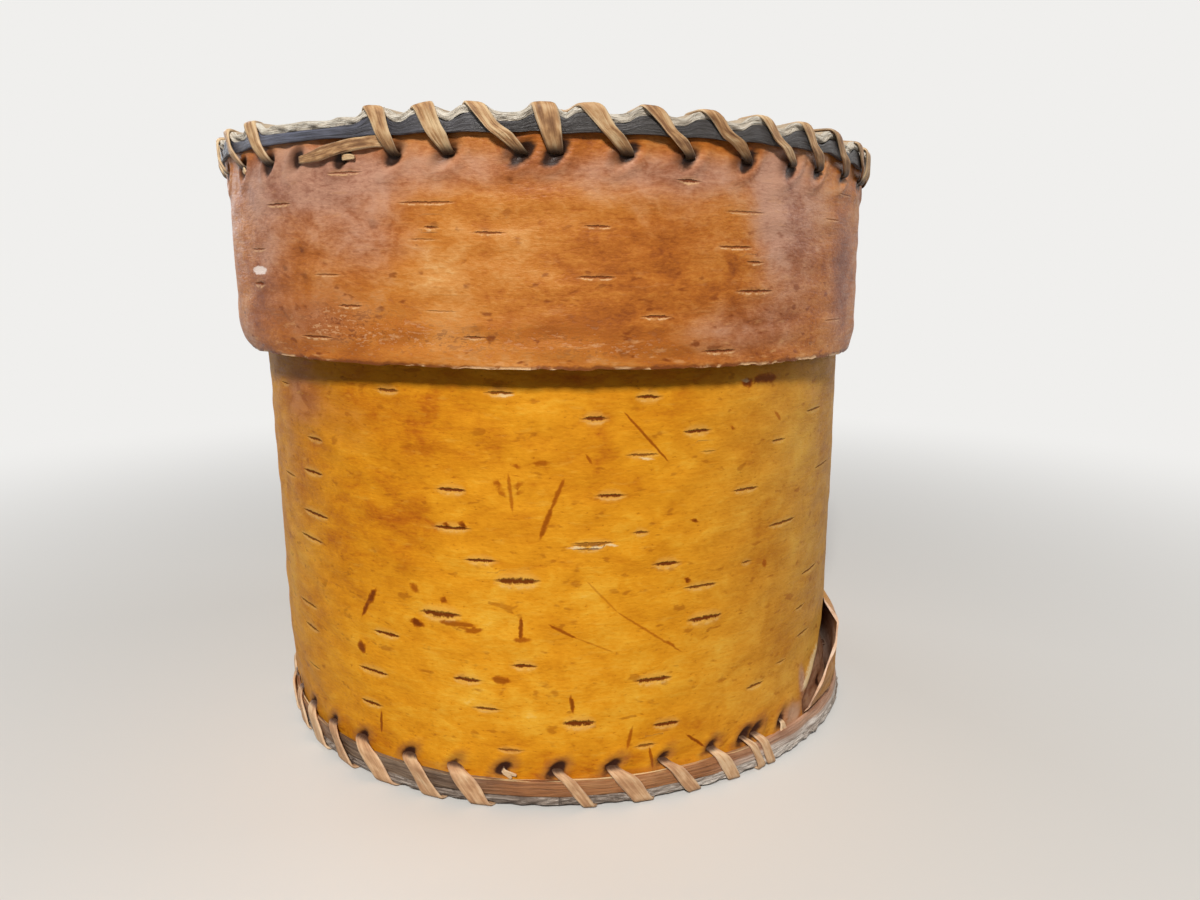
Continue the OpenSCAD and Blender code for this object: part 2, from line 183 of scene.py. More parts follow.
def add(tree, kind, sockets, **options):
    """A node with its options set, and its sockets set to values or joined to other nodes' outputs."""
    node = tree.nodes.new(kind)
    for key, value in options.items():
        setattr(node, key, value)
    for key, value in sockets.items():
        if isinstance(value, bpy.types.NodeSocket):
            tree.links.new(value, node.inputs[key])
        else:
            node.inputs[key].default_value = value
    return node


def calc(tree, operation, *values):
    """One sum on numbers that vary over the surface."""
    return add(tree, "ShaderNodeMath", dict(enumerate(values)), operation=operation).outputs[0]


def ease(tree, value, low, high, start=0.0, end=1.0):
    """A smooth step from start to end as a value goes from low to high."""
    sockets = {"Value": value, "From Min": low, "From Max": high, "To Min": start, "To Max": end}
    return add(tree, "ShaderNodeMapRange", sockets, interpolation_type="SMOOTHSTEP").outputs["Result"]


def tint(tree, share, under, over):
    """One colour laid over another by a share."""
    return add(tree, "ShaderNodeMix", {0: share, 6: under, 7: over}, data_type="RGBA").outputs[2]


def shades(tree, value, stops):
    """A run of colours along a value from 0 to 1."""
    node = add(tree, "ShaderNodeValToRGB", {"Fac": value})
    marks = node.color_ramp.elements
    for place, colour in stops[1:-1]:
        marks.new(place).color = colour
    marks[0].position, marks[0].color = stops[0]
    marks[-1].position, marks[-1].color = stops[-1]
    return node.outputs["Color"]


def field(tree, name, output="Fac"):
    """A number or vector kept on the mesh."""
    return add(tree, "ShaderNodeAttribute", {}, attribute_name=name).outputs[output]


def noise(tree, vector, scale, detail, roughness, distortion=0.0):
    """Seeded cloudy noise from 0 to 1."""
    sockets = {"Vector": vector, "Scale": scale, "Detail": detail, "Roughness": roughness,
               "Distortion": distortion}
    return add(tree, "ShaderNodeTexNoise", sockets).outputs["Fac"]


def stretched(tree, vector, x, y, z):
    """A vector with its three parts multiplied."""
    return add(tree, "ShaderNodeVectorMath", {0: vector, 1: (x, y, z)}, operation="MULTIPLY").outputs[0]


def new_finish(name, **plain):
    """A new material, its node tree and its Principled shader, with plain sockets set."""
    material = bpy.data.materials.new(name)
    material.use_nodes = True
    shader = material.node_tree.nodes["Principled BSDF"]
    for key, value in plain.items():
        shader.inputs[key.replace("_", " ")].default_value = value
    return material, material.node_tree, shader


def surface(tree, shader, colour, roughness, height, depth):
    """Joins a finish's colour, roughness and fine relief to its shader."""
    bump = add(tree, "ShaderNodeBump", {"Height": height, "Distance": depth, "Strength": 1.0})
    tree.links.new(colour, shader.inputs["Base Color"])
    tree.links.new(roughness, shader.inputs["Roughness"])
    tree.links.new(bump.outputs["Normal"], shader.inputs["Normal"])


def new_group(name, inputs, outputs):
    """An empty shader node group with named sockets, and its input and output sockets."""
    tree = bpy.data.node_groups.new(name, "ShaderNodeTree")
    for socket, kind in inputs.items():
        tree.interface.new_socket(socket, in_out="INPUT", socket_type="NodeSocket" + kind)
    for socket in outputs:
        tree.interface.new_socket(socket, in_out="OUTPUT", socket_type="NodeSocketFloat")
    return tree, tree.nodes.new("NodeGroupInput").outputs, tree.nodes.new("NodeGroupOutput").inputs


# Every bark: fibres round the trunk, grit, blotches, clouds, and dark and pale flecks that lie along it
bark_grain, given, put = new_group("bark_grain", {"Sheet": "Vector", "Fibre": "Vector"},
                                   ["Fibres", "Grit", "Blotches", "Clouds", "Specks", "Flecks"])
along_fibre = add(bark_grain, "ShaderNodeVectorMath", {0: given["Sheet"], 1: given["Fibre"]},
                  operation="MULTIPLY").outputs[0]
lying = stretched(bark_grain, given["Sheet"], 0.5, 1.0, 1.0)
flat = stretched(bark_grain, given["Sheet"], 0.28, 1.0, 1.0)
specks = noise(bark_grain, lying, scale=400.0, detail=2.5, roughness=0.55, distortion=0.2)
flecks = noise(bark_grain, flat, scale=640.0, detail=3.0, roughness=0.6)
grains = {"Fibres": noise(bark_grain, along_fibre, scale=1.0, detail=5.0, roughness=0.62, distortion=0.6),
          "Grit": noise(bark_grain, lying, scale=1500.0, detail=3.0, roughness=0.65),
          "Blotches": noise(bark_grain, lying, scale=240.0, detail=4.0, roughness=0.6, distortion=0.8),
          "Clouds": noise(bark_grain, given["Sheet"], scale=62.0, detail=4.0, roughness=0.58, distortion=0.6),
          "Specks": ease(bark_grain, specks, 0.61, 0.71),
          "Flecks": ease(bark_grain, flecks, 0.58, 0.72)}
for name, value in grains.items():
    bark_grain.links.new(value, put[name])


def varied(tree, start, grain, **amounts):
    """A value that varies about a start: each grain's distance from its middle, times an amount, added."""
    total = start
    for name, amount in amounts.items():
        total = calc(tree, "ADD", total, calc(tree, "MULTIPLY_ADD", grain[name], amount, -amount / 2))
    return total


def grain_of(tree, vector, fibre_length, fibre_height):
    """The bark grain of one material, with its own length and height of fibre."""
    node = add(tree, "ShaderNodeGroup", {}, node_tree=bark_grain)
    tree.links.new(vector, node.inputs["Sheet"])
    node.inputs["Fibre"].default_value = (1 / fibre_length, 1 / fibre_height, 1 / fibre_height)
    return node.outputs


def object_place(tree):
    """Place on the piece, in metres."""
    return add(tree, "ShaderNodeTexCoord", {}).outputs["Object"]


def toned(tree):
    """The mesh's tone about a middle of 0.5."""
    return calc(tree, "ADD", field(tree, "tone"), 0.5)


def three_tone(tree, value, low, middle, high):
    """Three colours in turn along a value from 0 to 1."""
    return shades(tree, value, [(0.1, low), (0.5, middle), (0.9, high)])


def layered_edge(name, pale, middle, dark, fibre_length=0.022, fibre_height=0.00035):
    """The cut edge of bark: thin papery layers, pale and dark, that run along the edge, paler where the
    mesh's tone is higher."""
    material, tree, shader = new_finish(name, Specular_IOR_Level=0.25)
    grain = grain_of(tree, field(tree, "sheet", "Vector"), fibre_length, fibre_height)
    layers = varied(tree, toned(tree), grain, Fibres=1.9, Clouds=0.5, Blotches=0.4)
    colour = three_tone(tree, layers, dark, middle, pale)
    rough = ease(tree, grain["Grit"], 0.3, 0.7, 0.6, 0.85)
    surface(tree, shader, colour, rough, grain["Fibres"], 0.0006)
    return material


def bark_face(name, low, middle, high, fibre_length, fibre_height, vector=None):
    """A plain face of bark: fibres, blotches and clouds between three colours."""
    material, tree, shader = new_finish(name, Specular_IOR_Level=0.3)
    place = object_place(tree) if vector is None else field(tree, vector, "Vector")
    grain = grain_of(tree, place, fibre_length, fibre_height)
    mixed = varied(tree, 0.5, grain, Fibres=0.9, Clouds=0.9, Blotches=0.7)
    colour = three_tone(tree, mixed, low, middle, high)
    speckled = tint(tree, calc(tree, "MULTIPLY", grain["Specks"], 0.4), colour, low)
    rough = ease(tree, grain["Grit"], 0.3, 0.7, 0.5, 0.75)
    surface(tree, shader, speckled, rough, grain["Fibres"], 0.0004)
    return material


def bark_disc(radius, low, high, rag, seed):
    """A round of bark: a profile from the middle of its underside out, up its ragged edge and in to
    the middle of its upper face, carried round the axis. Ripples vary the edge's radius and lift its
    upper side. Gives points, faces, each face's material, the place on the sheet and the azimuth."""
    az = np.linspace(0, 2 * np.pi, DISC_STEPS, endpoint=False)[None, :]
    face = np.linspace(0.06, 0.985, FACE_RINGS)
    share = np.concatenate([face, np.ones(EDGE_ROWS), face[::-1]])[:, None]
    rise = np.concatenate([0 * face, np.linspace(0, 1, EDGE_ROWS), 1 + 0 * face])[:, None]
    z = low + rise * (high - low)
    on_edge = (share == 1).astype(float)
    bow = 1 - (2 * rise - 1) ** 2
    r = radius * share + on_edge * (rag * ripple(az, z, seed, RAG_TURNS, RAG_RISES) + EDGE_BOW * (bow - 1))
    z = z + LIFT_SHARE * rag * ripple(az, 0 * z, seed + 1, LIFT_TURNS, 0.0) * share ** 8 * rise
    points = polar(r, az, z)
    rows, cols = points.shape[:2]
    tips = np.array([[0, 0, low], [0, 0, high]])
    first, last = np.arange(cols), (rows - 1) * cols + np.arange(cols)
    faces = [quads(rows, cols, join_cols=True), fan(first, rows * cols)[:, ::-1], fan(last, rows * cols + 1)]
    row = np.arange(rows - 1)
    edge_quads = np.repeat((row >= FACE_RINGS - 1) & (row < FACE_RINGS + EDGE_ROWS), cols)
    finish = np.concatenate([edge_quads.astype(int), np.zeros(2 * cols, dtype=int)])
    sheet = np.stack(np.broadcast_arrays(az * radius, z, r), axis=-1).reshape(-1, 3)
    turned = np.append(np.broadcast_to(az, r.shape).ravel(), [0, 0])
    return np.concatenate([points.reshape(-1, 3), tips]), faces, finish, np.concatenate([sheet, tips]), turned


points, faces, finish, sheet, disc_az = bark_disc(BASE_R, BASE_LOW, BASE_TOP, BASE_RAG, seed=11)
base_face = bark_face("base_bark_face", dye(116, 86, 60), dye(158, 124, 88), dye(192, 162, 122),
                      fibre_length=0.02, fibre_height=0.0012)
base_edge = layered_edge("base_bark_edge", dye(226, 216, 206), dye(156, 140, 128), dye(70, 54, 46))
base = build("base_disc", settle_box(points), faces, [base_face, base_edge], finish)
# Paler towards the right front of the edge, and a little darker everywhere else
paler_at_right = PALER * np.exp(-((disc_az - PALER_AZ) / PALER_WIDTH) ** 2) - DARKER
paint(base, sheet=sheet, tone=paler_at_right)
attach(base, "box")
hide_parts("base")

# Box wall: one sheet of golden birch bark, inner side out, wound once round and half lapped on the
# right. Lenticels cross it as dark slits, and the lap's lower corner has come loose and curls out.
WALL_R, WALL_BARK, LAP_GAP = 0.0844, 0.0024, 0.0003
WALL_LOW, WALL_TOP = 0.0032, 0.1560
# Numbers of the three materials of a sheet
OUTSIDE, INSIDE, CUT_EDGE = 0, 1, 2
LAP_FRONT, LAP_BACK = 76.0, 104.0
FLAP_LEAN, FLAP_HINGE, ROOM_BEFORE, ROOM_BEHIND = 26.0, 96.0, 40.0, 20.0
FLAP_LOW, FLAP_TOP, FLAP_GAPE = 0.0110, 0.0308, 0.0057
GAPE_LEAST, GAPE_WIDEST, GAPE_SHUT, GAPE_FROM, GAPE_FULL = 0.36, 0.8, 0.975, 0.0068, 0.0105
TATTER, TATTER_WAVE, THIN_OUTSIDE, THIN_INSIDE = 0.0003, 910, 0.0003, 0.0002
BASE_HOLE_Z, BASE_HOLES, BASE_PHASE = 0.0094, 40, -0.9
MOUTH_HOLE_Z, MOUTH_HOLES, MOUTH_PHASE = 0.1490, 36, -1.0
HOLE_STRAY, HOLE_LEAN, HOLE_DRAWN, HOLE_DEEP, HOLE_WIDE, HOLE_UP = 0.5, 0.6, 0.8, 0.0007, 0.0014, 0.0004
SLIT_W, SLIT_DEEP, FLAKE_HIGH, SHORTEST, EVENNESS = 0.00036, 0.00012, 0.0002, 0.0008, 4
MARK_TAPER, MARK_FAR, PATCH_SPREAD, STEEP = 0.55, 9, 1.3, 0.6
WALL_WAVES, WALL_GRAIN, WALL_RAG, BARK_DEPTH, TONE_WAVES = 0.00035, 0.00010, 0.00025, 0.00026, 0.05
LOOSE_FADE, LOOSE_PINK, LOOSE_DULL, RIGHT_SHEEN, LEFT_SHEEN = 0.004, 0.45, 0.5, 0.75, 0.35


def on_bark(pixels, radius, slip=0.0):
    """Azimuth in degrees and height where sight lines through pixels of the photograph meet an
    upright round wall, whose axis stands slip to the left."""
    pixels = np.asarray(pixels, dtype=float)
    ahead = np.array([np.sin(TURN_RIGHT) * np.cos(TIP_DOWN), np.cos(TURN_RIGHT) * np.cos(TIP_DOWN),
                      -np.sin(TIP_DOWN)])
    right = np.array([np.cos(TURN_RIGHT), -np.sin(TURN_RIGHT), 0])
    up = np.cross(right, ahead)
    sight = (ahead + (pixels[:, :1] - PHOTO_W / 2) / FOCAL_PX * right
             + (PHOTO_H / 2 - pixels[:, 1:2]) / FOCAL_PX * up)
    start = EYE + np.array([slip, 0, 0])
    a = (sight[:, :2] ** 2).sum(axis=1)
    b = (sight[:, :2] * start[:2]).sum(axis=1)
    c = (start[:2] ** 2).sum() - np.square(radius)
    t = (-b - np.sqrt(np.maximum(b * b - a * c, 0))) / a
    met = start + t[:, None] * sight
    return np.degrees(np.arctan2(met[:, 0], -met[:, 1])), met[:, 2]


def on_box(pixels):
    """Azimuth and height on the box wall, met again with the radius that its foot's swell gives there."""
    az, z = on_bark(pixels, WALL_R)
    for _ in range(3):
        az, z = on_bark(pixels, WALL_R + foot_swell(np.radians(az), z))
    return az, z


def strokes_on(strokes, cast, radius):
    """Marks on the bark from strokes on the photograph (x, y, x, y, width, strength): their middle
    along the sheet in metres, height, half length, half width, slope and strength."""
    strokes = np.asarray(strokes, dtype=float)
    az0, z0 = cast(strokes[:, :2])
    az1, z1 = cast(strokes[:, 2:4])
    arc0, arc1 = np.radians(az0 + 360) * radius, np.radians(az1 + 360) * radius
    half = np.hypot(arc1 - arc0, z1 - z0) / 2
    px_size = (-EYE[1] - radius) / FOCAL_PX
    slope = np.arctan2(z1 - z0, arc1 - arc0)
    return np.stack([(arc0 + arc1) / 2, (z0 + z1) / 2, half, strokes[:, 4] * px_size / 2, slope,
                     strokes[:, 5]], axis=1)


def lenticels_on(spots, cast, radius, width):
    """Lenticels from spots on the photograph (x, y, length, weight), level on the bark, with a half
    width for a weight of 1: their middle along the sheet, height, half length, half width, slope and
    strength."""
    spots = np.asarray(spots, dtype=float)
    az, z = cast(spots[:, :2])
    shift = np.stack([spots[:, 2] / 2, 0 * spots[:, 2]], axis=1)
    az0, _ = cast(spots[:, :2] - shift)
    az1, _ = cast(spots[:, :2] + shift)
    half = np.radians(az1 - az0) * radius / 2
    return np.stack([np.radians(az + 360) * radius, z, half, width * spots[:, 3], 0 * az,
                     np.clip(spots[:, 3], 0.5, 1)], axis=1)


def marks_over(arc, z, marks, reach=0.0030, end=0.0010):
    """For each point, its distance across the nearest mark over the mark's half width, which tapers to
    its ends, and the mark's strength, which fades past its ends and sides."""
    nearest = np.full(arc.shape, np.inf)
    across, near = np.zeros(arc.shape), np.zeros(arc.shape)
    for middle, height, half, width, slope, strength in marks:
        du = (arc - middle) * np.cos(slope) + (z - height) * np.sin(slope)
        dv = (z - height) * np.cos(slope) - (arc - middle) * np.sin(slope)
        gap = np.hypot(np.maximum(np.abs(du) - half, 0), dv)
        closer = gap < nearest
        by_end = np.clip((half - np.abs(du)) / end + 0.5, 0, 1)
        by_side = np.clip((reach - np.abs(dv)) / reach * 2, 0, 1)
        body = width * (1 - MARK_TAPER * np.minimum(np.abs(du) / half, 1) ** 3)
        across = np.where(closer, np.clip(dv / body, -MARK_FAR, MARK_FAR), across)
        near = np.where(closer, by_end * by_side * strength, near)
        nearest = np.where(closer, gap, nearest)
    return across, near


def patches_over(arc, z, patches, cast, radius):
    """Soft patches from places on the photograph (x, y, half width, half height, amount): bell curves
    along the sheet and up it, added."""
    patches = np.asarray(patches, dtype=float)
    az, height = cast(patches[:, :2])
    px_size = (-EYE[1] - radius) / FOCAL_PX
    total = np.zeros(arc.shape)
    for a, h, (wide, tall), amount in zip(np.radians(az + 360) * radius, height,
                                          patches[:, 2:4] * px_size, patches[:, 4]):
        total += amount * np.exp(-((arc - a) / (wide * PATCH_SPREAD)) ** 2 - ((z - h) / tall) ** 2)
    return total


def from_holes(az, z, hole_az, hole_z, radius):
    """Distance over the bark to the nearest awl hole of a row, shorter along a line that leans to the
    upper right, so that the dents and the painted shade round the holes reach that way."""
    least = np.full(np.broadcast(az, z).shape, np.inf)
    for a in hole_az:
        turn = (az - a + 180) % 360 - 180
        up = z - hole_z
        sideways = np.radians(turn) * radius - HOLE_LEAN * up
        least = np.minimum(least, np.hypot(sideways, HOLE_DRAWN * up))
    return least


def lapped_sheet(turn, z_out, every, r_out, bark, front, back):
    """A sheet wound once round with its ends half lapped. Going along it by azimuth, its outer end is
    the outer half of the bark as far as back, the sheet is full until it comes round to front again,
    and its inner end is the inner half. Rows go up the outer face and, more widely spaced, down the
    inner one. Gives azimuth, radius and height of each point, and faces with the two ends closed."""
    layer = (bark - LAP_GAP) / 2
    outer = np.where(turn < front + 360 - 0.1, r_out, r_out - layer - LAP_GAP)
    inner = np.where(turn <= back, r_out - layer, r_out - bark)
    z_in = z_out[::every][::-1]
    n, m, cols = len(z_out), len(z_in), len(turn)
    r = np.concatenate([np.tile(outer, (n, 1)), np.tile(inner, (m, 1))])
    z = np.tile(np.concatenate([z_out, z_in])[:, None], (1, cols))
    az = np.tile(turn, (n + m, 1))
    j = np.arange(m - 1)[:, None]
    up_side = (n - 1 - every * (j + 1)) + np.arange(every + 1)[None, :]
    ends = np.concatenate([up_side, n + j, n + j + 1], axis=1) * cols
    faces = [quads(n + m, cols, join_rows=True), ends, ends[:, ::-1] + cols - 1]
    row_finish = np.full(n + m, OUTSIDE)
    row_finish[[n - 1, n + m - 1]] = CUT_EDGE
    row_finish[n:n + m - 1] = INSIDE
    finish = np.concatenate([np.repeat(row_finish, cols - 1), np.full(2 * (m - 1), CUT_EDGE)])
    return az, r, z, faces, finish


# Awl holes at the front of the foot by their number, counted from the front to the right
foot_holes_seen = {
    35: (334, 717), 36: (363, 738), 37: (410, 763), 38: (455, 770), 39: (503, 772), 0: (557, 776),
    1: (612, 768), 2: (663, 760), 3: (711, 748), 4: (743, 741), 5: (754, 734), 6: (781, 722)}
# Marks at the front, read off the photograph in its pixels
lenticels_seen = [
    (314, 439, 14, 0.9), (312, 472, 17, 1), (314, 514, 22, 1), (310, 538, 19, 0.9), (289, 474, 8, 0.7),
    (284, 383, 6, 0.7), (388, 390, 20, 0.9), (500, 393, 26, 0.9), (451, 490, 27, 1.1), (451, 528, 33, 1),
    (480, 561, 29, 1), (649, 397, 23, 1.1), (595, 419, 23, 1.2), (697, 431, 24, 1.1), (643, 455, 28, 0.8),
    (611, 496, 26, 1), (745, 489, 22, 0.9), (782, 522, 23, 0.9), (814, 409, 13, 0.8), (778, 440, 12, 0.8),
    (822, 464, 10, 0.7), (594, 544, 40, 0.7), (588, 550, 26, 0.7), (667, 564, 24, 1.2), (641, 533, 13, 0.9),
    (746, 562, 8, 0.8), (809, 569, 12, 0.8), (708, 451, 13, 0.5), (517, 582, 42, 1.8), (440, 614, 37, 1.8),
    (386, 634, 24, 1), (373, 671, 26, 1.1), (467, 680, 26, 1.2), (524, 667, 23, 1.1), (486, 709, 25, 0.9),
    (510, 750, 24, 0.7), (371, 703, 18, 1), (307, 603, 14, 0.8), (311, 627, 11, 0.9), (314, 665, 9, 0.6),
    (701, 586, 29, 0.9), (705, 618, 31, 1.5), (654, 680, 33, 1.3), (755, 685, 15, 0.9), (579, 724, 31, 1.6),
    (667, 724, 24, 1.2), (646, 746, 19, 0.8), (799, 607, 8, 0.7), (802, 632, 10, 0.8), (780, 661, 9, 0.6)]
scars_seen = [
    (564, 480, 552, 508, 4.6, 0.55), (552, 508, 540, 539, 5.2, 0.62), (625, 413, 668, 461, 2.4, 0.6),
    (587, 582, 618, 613, 2.2, 0.27), (618, 613, 682, 652, 2.4, 0.36), (666, 642.3, 676, 648.4, 5, 0.5),
    (549, 626, 576, 639, 3, 0.6), (576, 639, 614, 653, 2, 0.28), (376, 590, 368, 602, 7, 0.9),
    (368, 602, 362, 615, 5, 0.85), (360, 641, 363, 653, 10, 0.85), (411, 621, 423, 625, 8, 1),
    (410, 585, 419, 591, 8, 0.5), (763, 559, 765, 567, 6, 0.5), (521, 619, 520, 641, 4, 0.75),
    (513, 641, 530, 640, 5, 0.5), (508, 474, 512, 512, 4, 0.4), (493, 482, 501, 486, 7, 0.5),
    (513, 487, 522, 483, 6, 0.45), (497, 491, 506, 497, 5, 0.4), (515, 495, 522, 492, 5, 0.4),
    (492, 679, 510, 682, 7, 0.6), (381, 712, 381, 732, 3.2, 0.7), (650, 748, 653, 768, 3.2, 0.6),
    (571, 697, 573, 713, 4, 0.75), (441, 599, 446, 602, 7, 0.8), (685, 579, 690, 581, 5, 0.9),
    (692, 520, 697, 521, 4, 1), (687, 735, 704, 746, 3, 0.75), (440, 622, 474, 626, 6, 0.55),
    (464, 632, 482, 630, 5, 0.5), (400, 445, 458, 451, 9, 0.2), (392, 458, 404, 470, 8, 0.2),
    (742, 382, 752, 383, 8, 0.9), (754, 379, 776, 377, 9, 0.7), (633, 728, 627, 748, 4, 0.5),
    (532, 464, 550, 463, 5, 0.45), (512, 466, 520, 467, 5, 0.55), (586, 455, 592, 464, 3, 0.55),
    (446, 768, 470, 770, 4, 0.45), (730, 427, 734, 428, 5, 0.6), (774, 411, 780, 420, 4, 0.4),
    (443, 524, 448, 525, 5, 0.9), (459, 523, 466, 527, 6, 0.9)]
pale_seen = [
    (816, 645, 803, 688, 14, 0.8), (570, 549, 584, 548, 4, 0.8), (590, 549, 603, 548, 4, 0.9),
    (606, 545, 617, 546, 3, 0.8), (640, 458, 652, 459, 3, 0.7), (497, 396, 512, 395, 3, 0.6),
    (783, 727, 779, 733, 6, 0.7), (742, 380, 748, 380, 4, 0.5)]
# Tone patches at the front: the bark's own tone, with painted light and shade among them. (540, 610) and
# (550, 670) paint the light brighter at the lower middle, (800, 490) is a painted sheen on the right side,
# and (620, 376) is a painted shadow just under the lid.
tone_and_light_seen = [
    (340, 430, 60, 60, -0.08), (430, 440, 70, 45, -0.14), (400, 545, 60, 70, -0.14),
    (330, 560, 40, 110, -0.08), (540, 610, 110, 70, 0.12), (480, 720, 110, 40, 0.06),
    (400, 690, 40, 40, -0.08), (640, 520, 110, 90, 0.06), (560, 420, 60, 40, 0.04),
    (620, 470, 50, 60, -0.06), (720, 640, 60, 70, 0.05), (700, 740, 60, 30, -0.10),
    # (800, 490) below is a painted sheen on the wall's right side
    (480, 480, 40, 30, 0.06), (520, 400, 40, 30, 0.08), (800, 490, 36, 140, 0.18),
    (550, 670, 170, 80, 0.10), (350, 560, 30, 40, 0.10), (420, 660, 40, 40, 0.06),
    (680, 700, 60, 50, 0.06), (500, 540, 40, 30, -0.06), (660, 420, 34, 26, -0.10),
    # Painted shadow just under the lid's edge
    (620, 376, 110, 9, -0.20)]
pink_seen = [
    (300, 395, 36, 34, 1.0), (290, 450, 20, 60, 0.4), (792, 716, 22, 20, 1.0), (802, 682, 9, 26, 0.9),
    (350, 410, 46, 46, 0.35), (420, 405, 40, 26, 0.2), (350, 560, 30, 50, 0.15),
    (740, 755, 40, 9, 0.6), (620, 774, 60, 5, 0.6), (420, 762, 50, 8, 0.4), (360, 735, 30, 12, 0.4)]

foot_number = np.array(list(foot_holes_seen))
base_hole_az = BASE_PHASE + 360 / BASE_HOLES * np.arange(BASE_HOLES)
base_hole_az = base_hole_az + np.random.default_rng(5).normal(0, HOLE_STRAY, BASE_HOLES)
foot_az, _ = on_box(list(foot_holes_seen.values()))
base_hole_az[foot_number] = np.where(foot_number > BASE_HOLES / 2, foot_az + 360, foot_az)
mouth_hole_az = MOUTH_PHASE + 360 / MOUTH_HOLES * np.arange(MOUTH_HOLES)
mouth_hole_az = mouth_hole_az + np.random.default_rng(6).normal(0, HOLE_STRAY, MOUTH_HOLES)

# Columns of points stand closest at the front and on the lap, and in pairs where the bark steps
inner_steps, rows_between = 48, 4
z_out = np.linspace(WALL_LOW, WALL_TOP, inner_steps * rows_between + 1)
lap_round = LAP_FRONT + 360
turn = np.concatenate([np.arange(LAP_FRONT, LAP_BACK, 0.7), [LAP_BACK, LAP_BACK + 0.2],
                       np.arange(LAP_BACK + 1.4, 286, 1.8), np.arange(286, lap_round - 0.4, 0.72),
                       [lap_round - 0.2, lap_round - 0.15],
                       np.arange(lap_round + 1, LAP_BACK + 360.1, 1.35)])
az, r, z, faces, finish = lapped_sheet(turn, z_out, rows_between, WALL_R, WALL_BARK, LAP_FRONT, LAP_BACK)
outer_face = np.arange(az.shape[0])[:, None] < len(z_out)
under_lap = az > lap_round - 0.17
# Below the top of the loose corner the lap's front edge slants forward, and the bark beside it makes room
slant = FLAP_LEAN * (1 - np.clip((z - FLAP_LOW) / (FLAP_TOP - FLAP_LOW), 0, 1)) ** 0.75
on_flap = (FLAP_HINGE - az) / (FLAP_HINGE - LAP_FRONT)
before_lap = (az - lap_round + ROOM_BEFORE) / ROOM_BEFORE
behind_lap = np.clip((lap_round + ROOM_BEHIND - az) / ROOM_BEHIND, 0, 1)
room = np.select([az <= FLAP_HINGE, (az > lap_round - ROOM_BEFORE) & ~under_lap, under_lap],
                 [on_flap, before_lap, behind_lap], 0)
free = np.where(az <= FLAP_HINGE, room, 0)
az = az - slant * room
# The corner gapes most a little below its top, and its edge is thin and tattered
open_up = (z - WALL_LOW) / (FLAP_TOP - WALL_LOW)
gape = GAPE_LEAST + (1 - GAPE_LEAST) * smooth(open_up, 0.0, GAPE_WIDEST)
gape = gape * (1 - smooth(open_up, GAPE_WIDEST, GAPE_SHUT)) * smooth(z, GAPE_FROM, GAPE_FULL)
tatter = TATTER * np.sin(z * TATTER_WAVE + 1)
curl = 0.7 + 1.8 * smooth(open_up, 0.45, 0.95)
r = r + free ** curl * gape * (FLAP_GAPE + tatter)
r = r + np.where(outer_face, -THIN_OUTSIDE, THIN_INSIDE) * smooth(free, 0.75, 1.0)
arc = np.radians(az) * WALL_R
draws = np.random.default_rng(21)


def scattered(count, low, high, bottom, top, radius, length, width, slope, strength):
    """Seeded marks spread evenly over a stretch of bark that the photograph doesn't show: their middle
    along the sheet, height, half length, half width, slope and strength."""
    return np.stack([np.radians(draws.uniform(low, high, count)) * radius, draws.uniform(bottom, top, count),
                     draws.gamma(EVENNESS, length / EVENNESS, count) + SHORTEST, draws.uniform(*width, count),
                     draws.normal(0, slope, count), draws.uniform(*strength, count)], axis=1)


def along_marks(across, near, middle=0.0, spread=1.5):
    """A bell curve across marks, about a line at middle half widths from theirs, as strong as they are."""
    return np.exp(-((across - middle) / spread) ** 2) * near


def punched(holes, rim, rim_at, rim_width):
    """Relief by distance from awl holes: a dent and a raised rim round it, both bell curves."""
    return rim * np.exp(-((holes - rim_at) / rim_width) ** 2) - HOLE_DEEP * np.exp(-(holes / HOLE_WIDE) ** 2)


unseen_slit = dict(radius=WALL_R, length=0.0030, width=(0.0002, 0.0004), slope=0.02, strength=(0.6, 1))
unseen_scar = dict(radius=WALL_R, length=0.0022, width=(0.0003, 0.0010), slope=0.7, strength=(0.3, 0.7))
slits = np.concatenate([lenticels_on(lenticels_seen, on_box, WALL_R, SLIT_W),
                        scattered(130, 108, 284, 0.013, 0.146, **unseen_slit),
                        scattered(46, 286, 434, 0.111, 0.146, **unseen_slit)])
slit, slit_near = marks_over(arc, z, slits)
scars = np.concatenate([strokes_on(scars_seen, on_box, WALL_R),
                        scattered(46, 108, 284, 0.02, 0.14, **unseen_scar)])
# Scars that cross are kept apart, because a point knows only the nearest mark of a kind
steep = np.abs(np.sin(scars[:, 4])) > STEEP
scar, scar_near = marks_over(arc, z, scars[~steep], reach=0.0026)
tear, tear_near = marks_over(arc, z, scars[steep], reach=0.0026)
pale, pale_near = marks_over(arc, z, strokes_on(pale_seen, on_box, WALL_R), reach=0.004, end=0.0008)
turned = np.radians(az)
# The tone carries the painted light and shade of these patches as well as the bark's own tone
tone = patches_over(arc, z, tone_and_light_seen, on_box, WALL_R) + TONE_WAVES * ripple(turned, z, 31, 9, 70)
loose = free * (1 - smooth(z, FLAP_TOP - LOOSE_FADE, FLAP_TOP + LOOSE_FADE))
pink = patches_over(arc, z, pink_seen, on_box, WALL_R) + under_lap + LOOSE_PINK * loose
